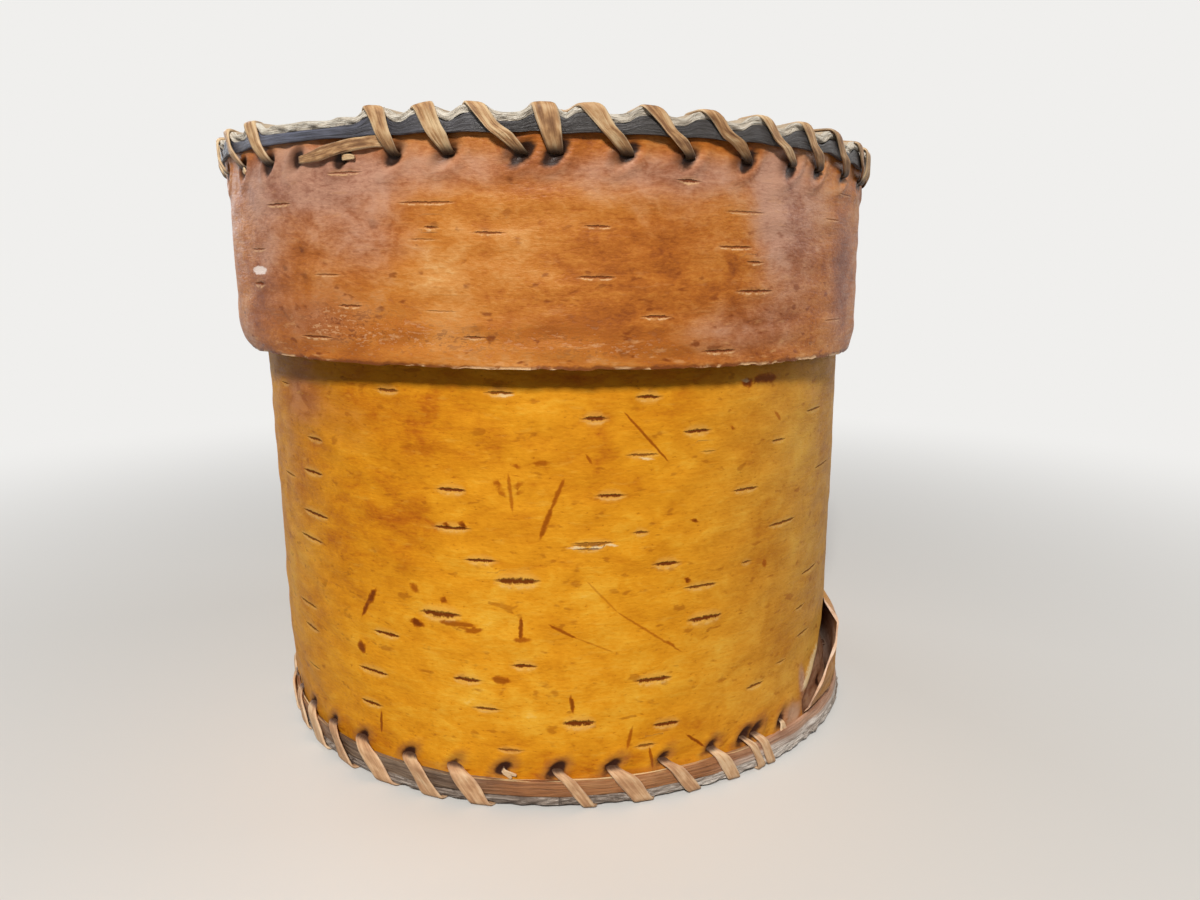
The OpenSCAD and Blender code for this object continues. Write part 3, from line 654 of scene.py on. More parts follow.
# Duller, paler colour: painted sheen on the wall's right and left sides, and the loose corner's own dull
# colour
dull = RIGHT_SHEEN * smooth(az, 372, 424) + LEFT_SHEEN * smooth(-az, -325, -298) + LOOSE_DULL * loose
holes = np.minimum(from_holes(az, z, base_hole_az, BASE_HOLE_Z + HOLE_UP, WALL_R),
                   from_holes(az, z, mouth_hole_az, MOUTH_HOLE_Z, WALL_R))
unevenness = WALL_WAVES * ripple(turned, z, 42, 7, 60)
relief = (unevenness + WALL_GRAIN * ripple(turned, z, 41, 40, 900)
          - SLIT_DEEP * along_marks(slit, slit_near) + FLAKE_HIGH * along_marks(pale, pale_near, spread=1.0)
          + punched(holes, rim=0.00035, rim_at=0.0028, rim_width=0.0012))
r = r + np.where(outer_face, relief, unevenness)
z = z + np.where(np.isclose(z, WALL_TOP), WALL_RAG * ripple(turned, 0 * z, 43, 150, 0), 0)


def within(tree, value, full, none):
    """1 while the size of a value is under full, and 0 once it is over none."""
    return ease(tree, calc(tree, "ABSOLUTE", value), full, none, 1.0, 0.0)


# Marks of every bark: a dark slit with a torn outline, a painted highlight on the lip along its lower side, a
# soft pale halo, and a stain with a soft outline
bark_marks, given, put = new_group("bark_marks", {"Across": "Float", "Near": "Float", "Sheet": "Vector"},
                                   ["Slit", "Lip_highlight", "Halo", "Stain"])
upright_grain = stretched(bark_marks, given["Sheet"], 1.5, 0.5, 1.0)
tears = {"coarse": noise(bark_marks, given["Sheet"], scale=800.0, detail=2.0, roughness=0.5),
         "fine": noise(bark_marks, upright_grain, scale=2600.0, detail=2.0, roughness=0.5)}
torn = varied(bark_marks, given["Across"], tears, coarse=2.0, fine=1.6)
blurred = varied(bark_marks, given["Across"], tears, coarse=1.6)
lower_side = within(bark_marks, calc(bark_marks, "ADD", torn, 2.3), 0.2, 1.3)
masks = {"Slit": within(bark_marks, torn, 0.4, 1.4),
         "Lip_highlight": calc(bark_marks, "MULTIPLY", lower_side, ease(bark_marks, tears["coarse"], 0.36, 0.58)),
         "Halo": within(bark_marks, given["Across"], 1.0, 6.0),
         "Stain": within(bark_marks, blurred, 0.3, 1.9)}
for name, mask in masks.items():
    bark_marks.links.new(calc(bark_marks, "MULTIPLY", mask, given["Near"]), put[name])


def marks_of(tree, kind):
    """Slit, painted lip highlight, halo and stain of one kind of mark on a material."""
    node = add(tree, "ShaderNodeGroup", {}, node_tree=bark_marks)
    tree.links.new(field(tree, kind), node.inputs["Across"])
    tree.links.new(field(tree, kind + "_near"), node.inputs["Near"])
    tree.links.new(field(tree, "sheet", "Vector"), node.inputs["Sheet"])
    return node.outputs


def share_of(tree, value, amount):
    """A varying value times an amount or another value."""
    return calc(tree, "MULTIPLY", value, amount)


def between(tree, value, low, high, dark, light):
    """A colour that goes smoothly from dark to light as a value goes from low to high."""
    return tint(tree, ease(tree, value, low, high), dark, light)


def laid_over(tree, colour, coats):
    """Coats of colour laid one after another over a first one, each by its own share."""
    for share, coat in coats:
        colour = tint(tree, share, colour, coat)
    return colour


def marked_surface(tree, shader, colour, grain, slit, smoothest, roughest, **relief):
    """Joins marked bark to its shader: relief by its grain, lower and rougher in its slits."""
    rough = ease(tree, grain["Fibres"], 0.3, 0.7, smoothest, roughest)
    height = varied(tree, 0.5, grain, **relief)
    surface(tree, shader, colour, calc(tree, "ADD", rough, share_of(tree, slit, 0.3)),
            calc(tree, "SUBTRACT", height, share_of(tree, slit, 0.8)), BARK_DEPTH)


wall_finish, tree, shader = new_finish("wall_bark", Specular_IOR_Level=0.08)
grain = grain_of(tree, field(tree, "sheet", "Vector"), fibre_length=0.007, fibre_height=0.0008)
mark, flake = marks_of(tree, "slit"), marks_of(tree, "pale")
old = calc(tree, "MAXIMUM", marks_of(tree, "scar")["Stain"], marks_of(tree, "tear")["Stain"])
shade = varied(tree, toned(tree), grain, Clouds=0.75, Blotches=0.6, Fibres=0.22, Grit=0.34)
golden = shades(tree, shade, [
    (0.0, dye(150, 74, 18)), (0.22, dye(192, 108, 20)), (0.42, dye(216, 138, 24)), (0.60, dye(232, 156, 32)),
    (0.80, dye(242, 178, 54)), (1.0, dye(248, 204, 104))])
# The duller colours below stand for painted sheen on the wall's sides, and on the loose corner for its own
# colour
faded = between(tree, shade, 0.2, 0.8, dye(172, 116, 40), dye(212, 162, 80))
blush = varied(tree, field(tree, "pink"), grain, Clouds=0.6, Blotches=0.4)
pinkish = between(tree, grain["Blotches"], 0.35, 0.65, dye(154, 82, 38), dye(190, 120, 66))
greyed = calc(tree, "MULTIPLY", blush, field(tree, "dull"))
mauve_grey = between(tree, grain["Blotches"], 0.35, 0.65, dye(150, 108, 84), dye(198, 160, 132))
near_hole = varied(tree, field(tree, "holes"), grain, Clouds=0.004, Blotches=0.0025)
colour = laid_over(tree, golden, [
    (field(tree, "dull"), faded),
    (ease(tree, blush, 0.1, 0.9, 0.0, 0.85), pinkish),
    (ease(tree, greyed, 0.15, 0.55, 0.0, 0.85), mauve_grey),
    (share_of(tree, grain["Specks"], 0.5), dye(160, 84, 14)),
    (ease(tree, grain["Grit"], 0.36, 0.28, 0.0, 0.5), dye(160, 84, 14)),
    (share_of(tree, grain["Flecks"], 0.2), dye(242, 188, 76)),
    (share_of(tree, mark["Halo"], 0.28), dye(244, 200, 112)),
    (ease(tree, old, 0.0, 0.5, 0.0, 0.85), dye(174, 90, 8)),
    (ease(tree, old, 0.3, 1.0, 0.0, 0.9), dye(112, 46, 4)),
    (share_of(tree, flake["Slit"], 0.9), dye(244, 222, 176)),
    # Painted highlight on the lower lip of each lenticel
    (share_of(tree, mark["Lip_highlight"], 0.2), dye(250, 222, 158)),
    (share_of(tree, mark["Slit"], 0.96), dye(110, 44, 3)),
    # Painted shade of the awl holes, which are only dents: brownish round each hole and dark in it
    (ease(tree, near_hole, 0.0044, 0.0016, 0.0, 0.5), dye(138, 88, 58)),
    (ease(tree, near_hole, 0.0021, 0.0008), dye(62, 36, 26))])
marked_surface(tree, shader, colour, grain, mark["Slit"], 0.42, 0.56, Fibres=0.25, Grit=0.4, Blotches=0.3)
wall_lining = bark_face("wall_lining", dye(160, 130, 112), dye(206, 178, 160), dye(232, 212, 196),
                        fibre_length=0.014, fibre_height=0.0008, vector="sheet")
wall_edge = bark_face("wall_bark_edge", dye(196, 154, 122), dye(226, 194, 168), dye(244, 224, 206),
                      fibre_length=0.01, fibre_height=0.004)
wall = build("wall_sheet", settle_box(polar(r, turned, z)), faces,
             [wall_finish, wall_lining, wall_edge], finish)
sheet = np.stack(np.broadcast_arrays(arc, z, r), axis=-1)
paint(wall, sheet=sheet, slit=slit, slit_near=slit_near, scar=scar, scar_near=scar_near, tear=tear,
      tear_near=tear_near, pale=pale, pale_near=pale_near, tone=tone, pink=pink, dull=dull, holes=holes)
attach(wall, "box")
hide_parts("wall")

# Foot strip: a narrow strip of brown bark bent round the foot of the wall under the stitches.
# Its cut upper edge is pale, and its two ends meet in an oblique cut on the far side.
FOOT_STRIP = (0.0845, 0.0858, 0.0032, 0.0073)
SCARF_AZ, SCARF_SLOPE = 150.0, np.radians(55)
STRIP_STEPS, STRIP_SIDES, WEATHERED = 520, 20, 0.9


def bark_strip(r0, r1, low, high, wave, seed):
    """A strip bent into a ring: a four-sided profile with eased corners carried round the axis from
    one oblique end to the other, its outer face and its edges uneven by ripples. Gives points, faces,
    the place on the sheet, and the height on the strip from -1 to 1."""
    turn = np.linspace(0, 1, STRIP_STEPS)[None, :]
    mid_z, half_r, half_z = (low + high) / 2, (r1 - r0) / 2, (high - low) / 2
    around = np.linspace(0, 2 * np.pi, STRIP_SIDES, endpoint=False)[:, None]
    square = np.maximum(np.abs(np.cos(around)), np.abs(np.sin(around)))
    px = half_r * np.clip(np.cos(around) / square, -0.94, 0.94)
    pz = half_z * np.clip(np.sin(around) / square, -0.97, 0.97)
    start = SCARF_AZ + np.degrees((pz * np.tan(SCARF_SLOPE) + LAP_GAP / 2) / r1)
    az = np.radians(start + turn * (360 - np.degrees(LAP_GAP / r1)))
    out = np.clip(px / half_r, 0, 1)
    r = (r0 + r1) / 2 + px + out * wave * ripple(az, pz, seed, 60, 900)
    z = mid_z + pz + np.sign(pz) * wave * 0.8 * ripple(az, 0 * pz, seed + 1, 45, 0)
    points = polar(r, az, z)
    rows, cols = points.shape[:2]
    first = np.arange(rows) * cols
    faces = [quads(rows, cols, join_rows=True), first[None, ::-1], first[None, :] + cols - 1]
    sheet = np.stack(np.broadcast_arrays(az * r1, z, r), axis=-1)
    return points, faces, sheet, np.broadcast_to(pz / half_z, r.shape)


def strip_finish(name, bark, aged_and_sheen, edge, edge_from, gloss, sheen):
    """Bark of a strip: fibres along it between three colours, two others where the mesh's tone is (aged bark,
    and on the dark strip a painted bluish sheen), pinkish with a whitish lower side where it is worn, and
    elsewhere with a paler cut upper edge."""
    material, tree, shader = new_finish(name, Specular_IOR_Level=gloss)
    grain = grain_of(tree, field(tree, "sheet", "Vector"), 0.014, 0.0006)
    mixed = varied(tree, 0.5, grain, Fibres=1.1, Clouds=0.7, Blotches=0.5)
    rim = varied(tree, field(tree, "rise"), grain, Fibres=0.7)
    pinkish = between(tree, mixed, 0.2, 0.8, dye(150, 104, 78), dye(204, 162, 134))
    whitish = between(tree, mixed, 0.3, 0.7, dye(186, 164, 150), dye(250, 240, 230))
    fresh = calc(tree, "SUBTRACT", 1.0, calc(tree, "MAXIMUM", field(tree, "tone"), field(tree, "worn")))
    colour = laid_over(tree, three_tone(tree, mixed, *bark), [
        (field(tree, "tone"), between(tree, mixed, 0.2, 0.8, *aged_and_sheen)),
        (field(tree, "worn"), between(tree, rim, 0.2, -0.3, pinkish, whitish)),
        (share_of(tree, ease(tree, rim, edge_from, edge_from + 0.12), fresh), edge)])
    rough = ease(tree, grain["Grit"], 0.3, 0.7, sheen, sheen + 0.22)
    surface(tree, shader, colour, rough, grain["Fibres"], 0.0005)
    return material


def over_stretch(az, start, full, ebb, end):
    """1 between the azimuths full and ebb, 0 before start and after end, and smooth between."""
    return smooth(az, start, full) * (1 - smooth(az, ebb, end))


points, faces, sheet, strip_rise = bark_strip(*FOOT_STRIP, wave=0.00018, seed=51)
foot_strip_finish = strip_finish(
    "foot_strip", bark=[dye(104, 64, 40), dye(166, 110, 68), dye(196, 144, 98)],
    aged_and_sheen=[dye(70, 56, 46), dye(142, 124, 106)], edge=dye(240, 214, 164), edge_from=0.92,
    gloss=0.35, sheen=0.42)
foot_strip = build("foot_strip", settle_box(points), faces, [foot_strip_finish])
strip_az = np.degrees(sheet[..., 0] / FOOT_STRIP[1])
weathered = WEATHERED * over_stretch(strip_az, 290, 322, 340, 354)
worn = over_stretch(strip_az, 384, 402, 445, 460)
paint(foot_strip, sheet=sheet, rise=strip_rise, tone=weathered, worn=worn)
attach(foot_strip, "box")
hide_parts("base_hoop")

# Foot lacing: three split roots, whipped over the strip and the disc's edge, each stitch
# slanting down to the right. Some stitches are lost on the right, and one at the front.
ROOT_W, ROOT_PINCH, ROOT_LIFT, ROOT_SLANT = 0.0042, 0.0034, 0.00055, 1.25
FOOT_ROOT_T, BASE_HOLE_R, TUCK, LAST_LEG = 0.0009, 0.0775, 0.007, 0.55
STUMP_T, STUMP_POINTS, FOOT_STUMP_W, FOOT_STUMP_IN = 0.0006, 16, 0.0011, 0.0016
# Waves of a root's width and of its twist: height, and radians a metre
ROOT_WIDTHS, ROOT_TWISTS, ROOT_RIDGES = [(0.06, 310), (0.04, 730)], [(0.10, 97), (0.07, 231)], 0.12
ROOT_WIDE = (0.85, 1.1)
# Points of a stitch: radius, height, share of the way to the next hole, width, how deep in a hole
foot_stitch = np.array([
    [WALL_R + ROOT_LIFT, BASE_HOLE_Z, 0.0, ROOT_PINCH, 1],
    [FOOT_STRIP[1] + ROOT_LIFT, FOOT_STRIP[3] + ROOT_LIFT, 0.2, ROOT_W * ROOT_SLANT, 0],
    [FOOT_STRIP[1] + ROOT_LIFT, FOOT_ROOT_T / 2, 0.58, ROOT_W * ROOT_SLANT, 0],
    [BASE_HOLE_R, FOOT_ROOT_T / 2, 0.85, ROOT_PINCH, 0.6],
    [BASE_HOLE_R, BASE_TOP + ROOT_LIFT, 0.85, ROOT_PINCH, 0.6],
    [WALL_R - WALL_BARK - ROOT_LIFT, BASE_TOP + ROOT_LIFT, 0.9, ROOT_W, 0],
    [WALL_R - WALL_BARK - ROOT_LIFT, BASE_HOLE_Z, 1.0, ROOT_PINCH, 1]])


def root_course(stitch, hole_az, tuck, broken, seed, lean=None, wide=None):
    """The course of one root through a row of holes: a tucked start, then each stitch's points set
    between its hole and the next by their share of the way. A root that broke ends in its last hole,
    and another ends inside. Gives radius, height, azimuth, width, hole depth and tone at each point."""
    rng = np.random.default_rng(seed)
    loops, n = len(hole_az) - 1, len(stitch)
    lean = np.ones(loops) if lean is None else np.asarray(lean)
    wide = rng.uniform(*ROOT_WIDE, loops) if wide is None else np.asarray(wide)
    share = np.tile(stitch[:, 2], (loops, 1))
    share[:, 1:3] *= lean[:, None]
    az = hole_az[:-1, None] + np.diff(hole_az)[:, None] * share
    width = stitch[None, :, 3] * wide[:, None]
    tone = np.repeat(rng.uniform(-1, 1, loops)[:, None], n, axis=1)
    course = np.stack([np.tile(stitch[:, 0], (loops, 1)), np.tile(stitch[:, 1], (loops, 1)), az, width,
                       np.tile(stitch[:, 4], (loops, 1)), tone], axis=-1).reshape(-1, 6)
    hole_r, hole_z = stitch[-1, :2]
    first = np.array([[hole_r, hole_z + tuck, hole_az[0], ROOT_W, 0, tone[0, 0]],
                      [hole_r, hole_z, hole_az[0], ROOT_PINCH, 1, tone[0, 0]]])
    last = course[-1].copy()
    if broken:
        last[0] = (stitch[0, 0] + hole_r) / 2
        course = np.concatenate([course, last[None]])
    else:
        course[-1, :2] = stitch[-2, :2] + (stitch[-1, :2] - stitch[-2, :2]) * LAST_LEG
    return np.concatenate([first, course])


def unit(vectors):
    """Vectors with their length made 1."""
    return vectors / np.linalg.norm(vectors, axis=-1, keepdims=True)


def run_along(path):
    """The distance along a path at each of its points."""
    return np.concatenate([[0], np.cumsum(np.linalg.norm(np.diff(path, axis=0), axis=1))])


def waver(s, waves, phases):
    """Sine waves along a root, added up."""
    return sum(height * np.sin(s * rate + phase) for (height, rate), phase in zip(waves, phases))


def root_profile(sides):
    """A flat profile with rounded edges, a circle squared off by powers, thinnest along its middle."""
    around = np.linspace(0, 2 * np.pi, sides, endpoint=False)
    x = np.sign(np.cos(around)) * np.abs(np.cos(around)) ** 0.75
    y = np.sign(np.sin(around)) * np.abs(np.sin(around)) ** 0.55 * (0.72 + 0.28 * x ** 2)
    return x, y


def carried(middle, across, square, width, thickness, x, y):
    """A profile carried along a path, its width along across and its thickness along square, with both
    ends closed: points and faces."""
    points = (middle[:, None] + across[:, None] * (width[:, None, None] / 2) * x[None, :, None]
              + square[:, None] * (thickness / 2) * y[None, :, None])
    rows, sides = points.shape[:2]
    last = (rows - 1) * sides + np.arange(sides)
    faces = [quads(rows, sides, join_cols=True), fan(np.arange(sides), rows * sides)[:, ::-1],
             fan(last, rows * sides + 1)]
    return np.concatenate([points.reshape(-1, 3), middle[[0, -1]]]), faces


def root_fields(x, **along_root):
    """What a root's finish reads at each point and at both ends: the place across it, and values that
    vary only along it."""
    rows = len(along_root["along"])
    fields = {"across": np.append(np.tile(x, rows), [0, 0])}
    for name, values in along_root.items():
        fields[name] = np.append(np.repeat(values, len(x)), values[[0, -1]])
    return fields


def drawn_root(course, thickness, seed, step=0.0006, bend=1.5, bend_reach=5, sides=14):
    """A split root along its course: the course is sampled evenly and eased at its bends by a bell
    curve, and a flat profile with turned-up edges and seeded ridges is carried along it. The profile's
    width lies along the rim and its thickness square to that and to the course."""
    length = run_along(polar(course[:, 0], np.radians(course[:, 2]), course[:, 1]))
    s = np.arange(0, length[-1], step)
    kernel = np.exp(-(np.arange(-bend_reach, bend_reach + 1) / bend) ** 2 / 2)
    kernel = kernel / kernel.sum()

    def eased(values):
        """Values along the course, sampled evenly and averaged under the bell curve."""
        padded = np.pad(np.interp(s, length, values), bend_reach, mode="edge")
        return np.convolve(padded, kernel, mode="valid")

    r, z, az, width, deep, tone = [eased(column) for column in course.T]
    az = np.radians(az)
    rng = np.random.default_rng(seed)
    phase = rng.uniform(0, 6.28, 4)
    middle = polar(r, az, z)
    rim = polar(1.0, az + np.pi / 2, 0 * az)
    square = unit(np.cross(unit(np.gradient(middle, axis=0)), rim))
    twist = waver(s, ROOT_TWISTS, phase[2:])[:, None]
    across = rim * np.cos(twist) + square * np.sin(twist)
    x, y = root_profile(sides)
    y = y * (1 + rng.uniform(-ROOT_RIDGES, ROOT_RIDGES, sides))
    width = width * (1 + waver(s, ROOT_WIDTHS, phase[:2]))
    points, faces = carried(middle, across, square, width, thickness, x, y)
    return points, faces, root_fields(x, along=s, deep=deep, tone=tone)


def laid_root(corner, width, upright, thickness, deep, tone, sides=12):
    """A short flat root through given points: a flat profile whose width follows given directions,
    carried along them, with its ends closed."""
    square = unit(np.cross(unit(np.gradient(corner, axis=0)), upright))
    x, y = root_profile(sides)
    points, faces = carried(corner, upright, square, width, thickness, x, y)
    return points, faces, root_fields(x, along=run_along(corner), deep=deep, tone=np.full(len(corner), tone))


def stump(az, z, r_in, r_out, run, drop, width):
    """What is left of a root in a hole: a short torn strap that comes out and bends along the wall, by
    a run round it and a drop. Its width lies square to that way."""
    t = np.linspace(0, 1, STUMP_POINTS)
    way = smooth(t, 0.3, 1.0)
    out = r_in + (r_out + STUMP_T - r_in) * smooth(t, 0, 0.55)
    corner = polar(out, np.radians(az) + run / r_out * way, z - drop * way)
    sideways = np.full(STUMP_POINTS, np.radians(az) + np.pi / 2)
    upright = polar(drop, sideways, np.full(STUMP_POINTS, run)) / np.hypot(run, drop)
    return laid_root(corner, width * (1 - 0.6 * t ** 3), upright, STUMP_T, 1 - smooth(t, 0.3, 0.6), tone=2.0)


def joined(parts):
    """Several meshes with the same fields as one: points and fields in a row, faces counted on."""
    points = np.concatenate([p for p, _, _ in parts])
    fields = {key: np.concatenate([f[key] for _, _, f in parts]) for key in parts[0][2]}
    faces, count = [], 0
    for p, part_faces, _ in parts:
        faces += [f + count for f in outward(p, part_faces)]
        count += len(p)
    return points, faces, fields


def root_finish(name, dark, middle, light, edge, hole, outlined=0.5, shade_from=0.35, rough_low=0.45):
    """Split root: fibres along it between three colours, paler torn edges, and painted shade where it goes
    down into a hole.
    """
    material, tree, shader = new_finish(name, Specular_IOR_Level=0.3)
    across, along = field(tree, "across"), field(tree, "along")
    sockets = {0: share_of(tree, across, 3.0), 1: share_of(tree, along, 75.0), 2: 0.0}
    place = add(tree, "ShaderNodeCombineXYZ", sockets).outputs[0]
    fibres = noise(tree, place, scale=1.0, detail=5.0, roughness=0.65, distortion=0.3)
    blotch = noise(tree, stretched(tree, place, 0.35, 3.5, 1.0), scale=1.0, detail=3.0, roughness=0.5)
    mixed = calc(tree, "ADD", share_of(tree, fibres, 0.5), share_of(tree, blotch, 0.5))
    mixed = calc(tree, "ADD", mixed, share_of(tree, field(tree, "tone"), 0.05))
    colour = shades(tree, ease(tree, mixed, 0.34, 0.66), [(0.0, dark), (0.5, middle), (1.0, light)])
    rim = varied(tree, calc(tree, "ABSOLUTE", across), {"Fibres": fibres}, Fibres=0.5)
    deep = varied(tree, field(tree, "deep"), {"Fibres": fibres}, Fibres=0.5)
    colour = tint(tree, ease(tree, rim, 0.78, 1.0, 0.0, outlined), colour, edge)
    # Painted shade where the root goes down into a hole
    colour = tint(tree, ease(tree, deep, shade_from, 0.95, 0.0, 0.92), colour, hole)
    rough = ease(tree, fibres, 0.3, 0.7, rough_low, rough_low + 0.25)
    surface(tree, shader, colour, rough, fibres, 0.0003)
    return material


foot_root = root_finish("foot_root", dye(184, 136, 98), dye(216, 172, 130), dye(234, 200, 160),
                        edge=dye(244, 222, 192), hole=dye(70, 42, 32), outlined=0.3, shade_from=0.6)
foot_roots = [(0, 6, True), (9, 15, False), (24, 15, True)]
foot_wide = {0: [0.66, 1.0, 0.74, 0.7, 0.5, 0.52], 2: [0.9] * 10 + [1.2, 1.2, 1.2, 1.15, 1.12]}
foot_lean = {0: [1, 1, 1, 1, 2.2, 0.7]}
foot_stumps = {0: [(6, -0.0010, 0.0034), (6, 0.0012, 0.0030)],
               2: [(39, 0.0034, 0.0010), (39, 0.0022, 0.0018)]}
for k, (first, loops, broken) in enumerate(foot_roots):
    holes_used = np.append(base_hole_az, base_hole_az[0] + 360)[first:first + loops + 1]
    course = root_course(foot_stitch, holes_used, TUCK, broken, 60 + k, foot_lean.get(k), foot_wide.get(k))
    parts = [drawn_root(course, FOOT_ROOT_T, 63 + k)]
    parts += [stump(base_hole_az[i], BASE_HOLE_Z, WALL_R - FOOT_STUMP_IN, WALL_R, run, drop, FOOT_STUMP_W)
              for i, run, drop in foot_stumps.get(k, [])]
    points, faces, fields = joined(parts)
    piece = build(f"foot_root_{k + 1}", settle_box(points), faces, [foot_root], sharp=70)
    paint(piece, **fields)
    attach(piece, "box")
    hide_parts(f"base_lacing_{k + 1}")

# Mouth strip: a strip of bark round the mouth of the wall that stiffens it, hidden while the lid
# is on. It was bent like the foot strip, with an oblique joint at the back.
MOUTH_STRIP = (0.0845, 0.0855, 0.1514, 0.1560)
points, faces, sheet, strip_rise = bark_strip(*MOUTH_STRIP, wave=0.00012, seed=71)
mouth_strip_finish = strip_finish(
    "mouth_strip", bark=[dye(118, 76, 42), dye(166, 114, 66), dye(192, 142, 92)],
    aged_and_sheen=[dye(98, 74, 52), dye(150, 124, 96)], edge=dye(226, 192, 140), edge_from=0.86, gloss=0.3, sheen=0.45)
mouth_strip = build("mouth_strip", settle_box(points), faces, [mouth_strip_finish])
paint(mouth_strip, sheet=sheet, rise=strip_rise, tone=0 * strip_rise, worn=0 * strip_rise)
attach(mouth_strip, "box")
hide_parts("mouth_hoop")

# Mouth lacing: two split roots whipped over the mouth strip and the wall's upper edge,
# going round to the left. They are thinner than the foot's, so that the lid passes over them.
MOUTH_ROOT_T, MOUTH_LOOPS = 0.0007, 18
mouth_stitch = np.array([
    [WALL_R + ROOT_LIFT, MOUTH_HOLE_Z, 0.0, ROOT_PINCH, 1],
    [MOUTH_STRIP[1] + ROOT_LIFT, MOUTH_STRIP[2] - ROOT_LIFT, 0.25, ROOT_W * ROOT_SLANT, 0],
    [MOUTH_STRIP[1] + ROOT_LIFT, WALL_TOP + ROOT_LIFT, 0.6, ROOT_W * ROOT_SLANT, 0],
    [WALL_R - WALL_BARK - ROOT_LIFT, WALL_TOP + ROOT_LIFT, 0.8, ROOT_W * ROOT_SLANT, 0],
    [WALL_R - WALL_BARK - ROOT_LIFT, MOUTH_HOLE_Z, 1.0, ROOT_PINCH, 1]])
box_root = root_finish("box_root", dye(140, 102, 66), dye(190, 150, 102), dye(214, 180, 134),
                       edge=dye(232, 206, 166), hole=dye(58, 38, 26))
mouth_round = np.concatenate([mouth_hole_az[:1], mouth_hole_az[:0:-1] - 360, mouth_hole_az[:1] - 360])
for k in range(MOUTH_HOLES // MOUTH_LOOPS):
    holes_used = mouth_round[k * MOUTH_LOOPS:(k + 1) * MOUTH_LOOPS + 1]
    course = root_course(mouth_stitch, holes_used, -TUCK, False, 75 + k)
    points, faces, fields = drawn_root(course, MOUTH_ROOT_T, 77 + k)
    piece = build(f"mouth_root_{k + 1}", settle_box(points), faces, [box_root], sharp=70)
    paint(piece, **fields)
    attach(piece, "box")
    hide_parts(f"mouth_lacing_{k + 1}")

# Wall seam: one split root in a running stitch up the lap, in and out of holes above the loose
# corner, with both ends tucked away inside.
SEAM_T, SEAM_STRAY = 0.0009, 0.35


def seam_course(r_in, r_out, az, low, high, count, seed):
    """A running stitch: from a tucked end inside, in and out of holes one above another, with a point
    halfway between each two."""
    rng = np.random.default_rng(seed)
    hole = np.repeat(np.linspace(low, high, count), 2)
    k = np.arange(2 * count)
    inside = ((k // 2 + k % 2) % 2) == 0
    z = np.concatenate([[low - TUCK], hole, [high + TUCK]])
    r = np.concatenate([[r_in - ROOT_LIFT], np.where(inside, r_in - ROOT_LIFT, r_out + ROOT_LIFT),
                        [r_in - ROOT_LIFT if count % 2 == 0 else r_out + ROOT_LIFT]])
    turn = az + np.concatenate([[0], np.repeat(rng.normal(0, SEAM_STRAY, count), 2), [0]])
    width = np.concatenate([[ROOT_W], np.full(2 * count, ROOT_PINCH), [ROOT_W]])
    at = np.arange(len(z))
    halves = np.arange(0, len(z) - 0.5, 0.5)
    in_hole = (halves % 1 == 0) & (halves > 0) & (halves < at[-1])
    r, z, turn, width = [np.interp(halves, at, v) for v in (r, z, turn, width)]
    return np.stack([r, z, turn, width, in_hole.astype(float), 0 * r], axis=-1)


course = seam_course(WALL_R - WALL_BARK, WALL_R, az=90.0, low=0.0388, high=0.1350, count=8, seed=81)
points, faces, fields = drawn_root(course, SEAM_T, 82)
wall_seam = build("wall_seam_root", settle_box(points), faces, [box_root], sharp=70)
paint(wall_seam, **fields)
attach(wall_seam, "box")
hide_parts("wall_seam_lacing")

# Lid disc: a round of bark laid on the lid band and the dark strip. Its papery, whitish edge is
# ragged, and its rim sags a little between the stitches.
LID_UNDER, LID_HIGH, LID_DISC_R, LID_RAG, LID_PALER = 0.1584, 0.1600, 0.0913, 0.00032, 0.1
LID_R, LID_BARK = 0.0900, 0.0020
LID_SLIP, LID_TILT = 0.0015, 0.006
RIM_SAG, SAG_LOW, SAG_IN, SAG_OUT, HELD_WIDTH = 0.0016, 0.1535, 0.080, 0.0905, np.radians(2.3)
RIM_DROP, DROP_IN, DROP_OUT, DROP_LOW, DROP_HIGH = 0.0016, 0.058, 0.088, 0.145, 0.158
LID_HOLES, LID_PHASE, LID_HOLE_STRAY, OVER_RIM, FRONT_HOLES = 44, 1.1, 0.6, 0.66, 7


def on_lid(pixels):
    """Azimuth and height where sight lines meet the lid band."""
    return on_bark(pixels, LID_R, LID_SLIP)


# Awl holes at the front of the lid from left to right, and how far each stitch leans to the left
lid_holes_seen = [
    (246, 172), (271, 166), (298, 164), (343, 160), (395, 155), (449, 152), (522, 153), (556, 145),
    (628, 157), (691, 152), (748, 161), (793, 165), (819, 166), (844, 170), (858, 177)]
lid_leans_seen = [0.7, 0.6, 0, 0, 0.42, 0.62, 0.97, 0.53, 0.87, 1.07, 1.23, 1.3, 1.4, 1.1, 1.0]
lid_index = np.arange(-LID_HOLES // 2, LID_HOLES // 2)
lid_hole_az = LID_PHASE + 360 / LID_HOLES * lid_index
lid_hole_az = lid_hole_az + np.random.default_rng(8).normal(0, LID_HOLE_STRAY, LID_HOLES)
lid_lean = np.ones(LID_HOLES)
at_front = np.abs(lid_index) <= FRONT_HOLES
lid_hole_az[at_front] = on_lid(lid_holes_seen)[0]
lid_lean[at_front] = lid_leans_seen
to_next = np.roll(lid_hole_az, 1) - lid_hole_az
to_next[0] -= 360
over_rim = np.radians(lid_hole_az + to_next * OVER_RIM * lid_lean)[lid_lean > 0]


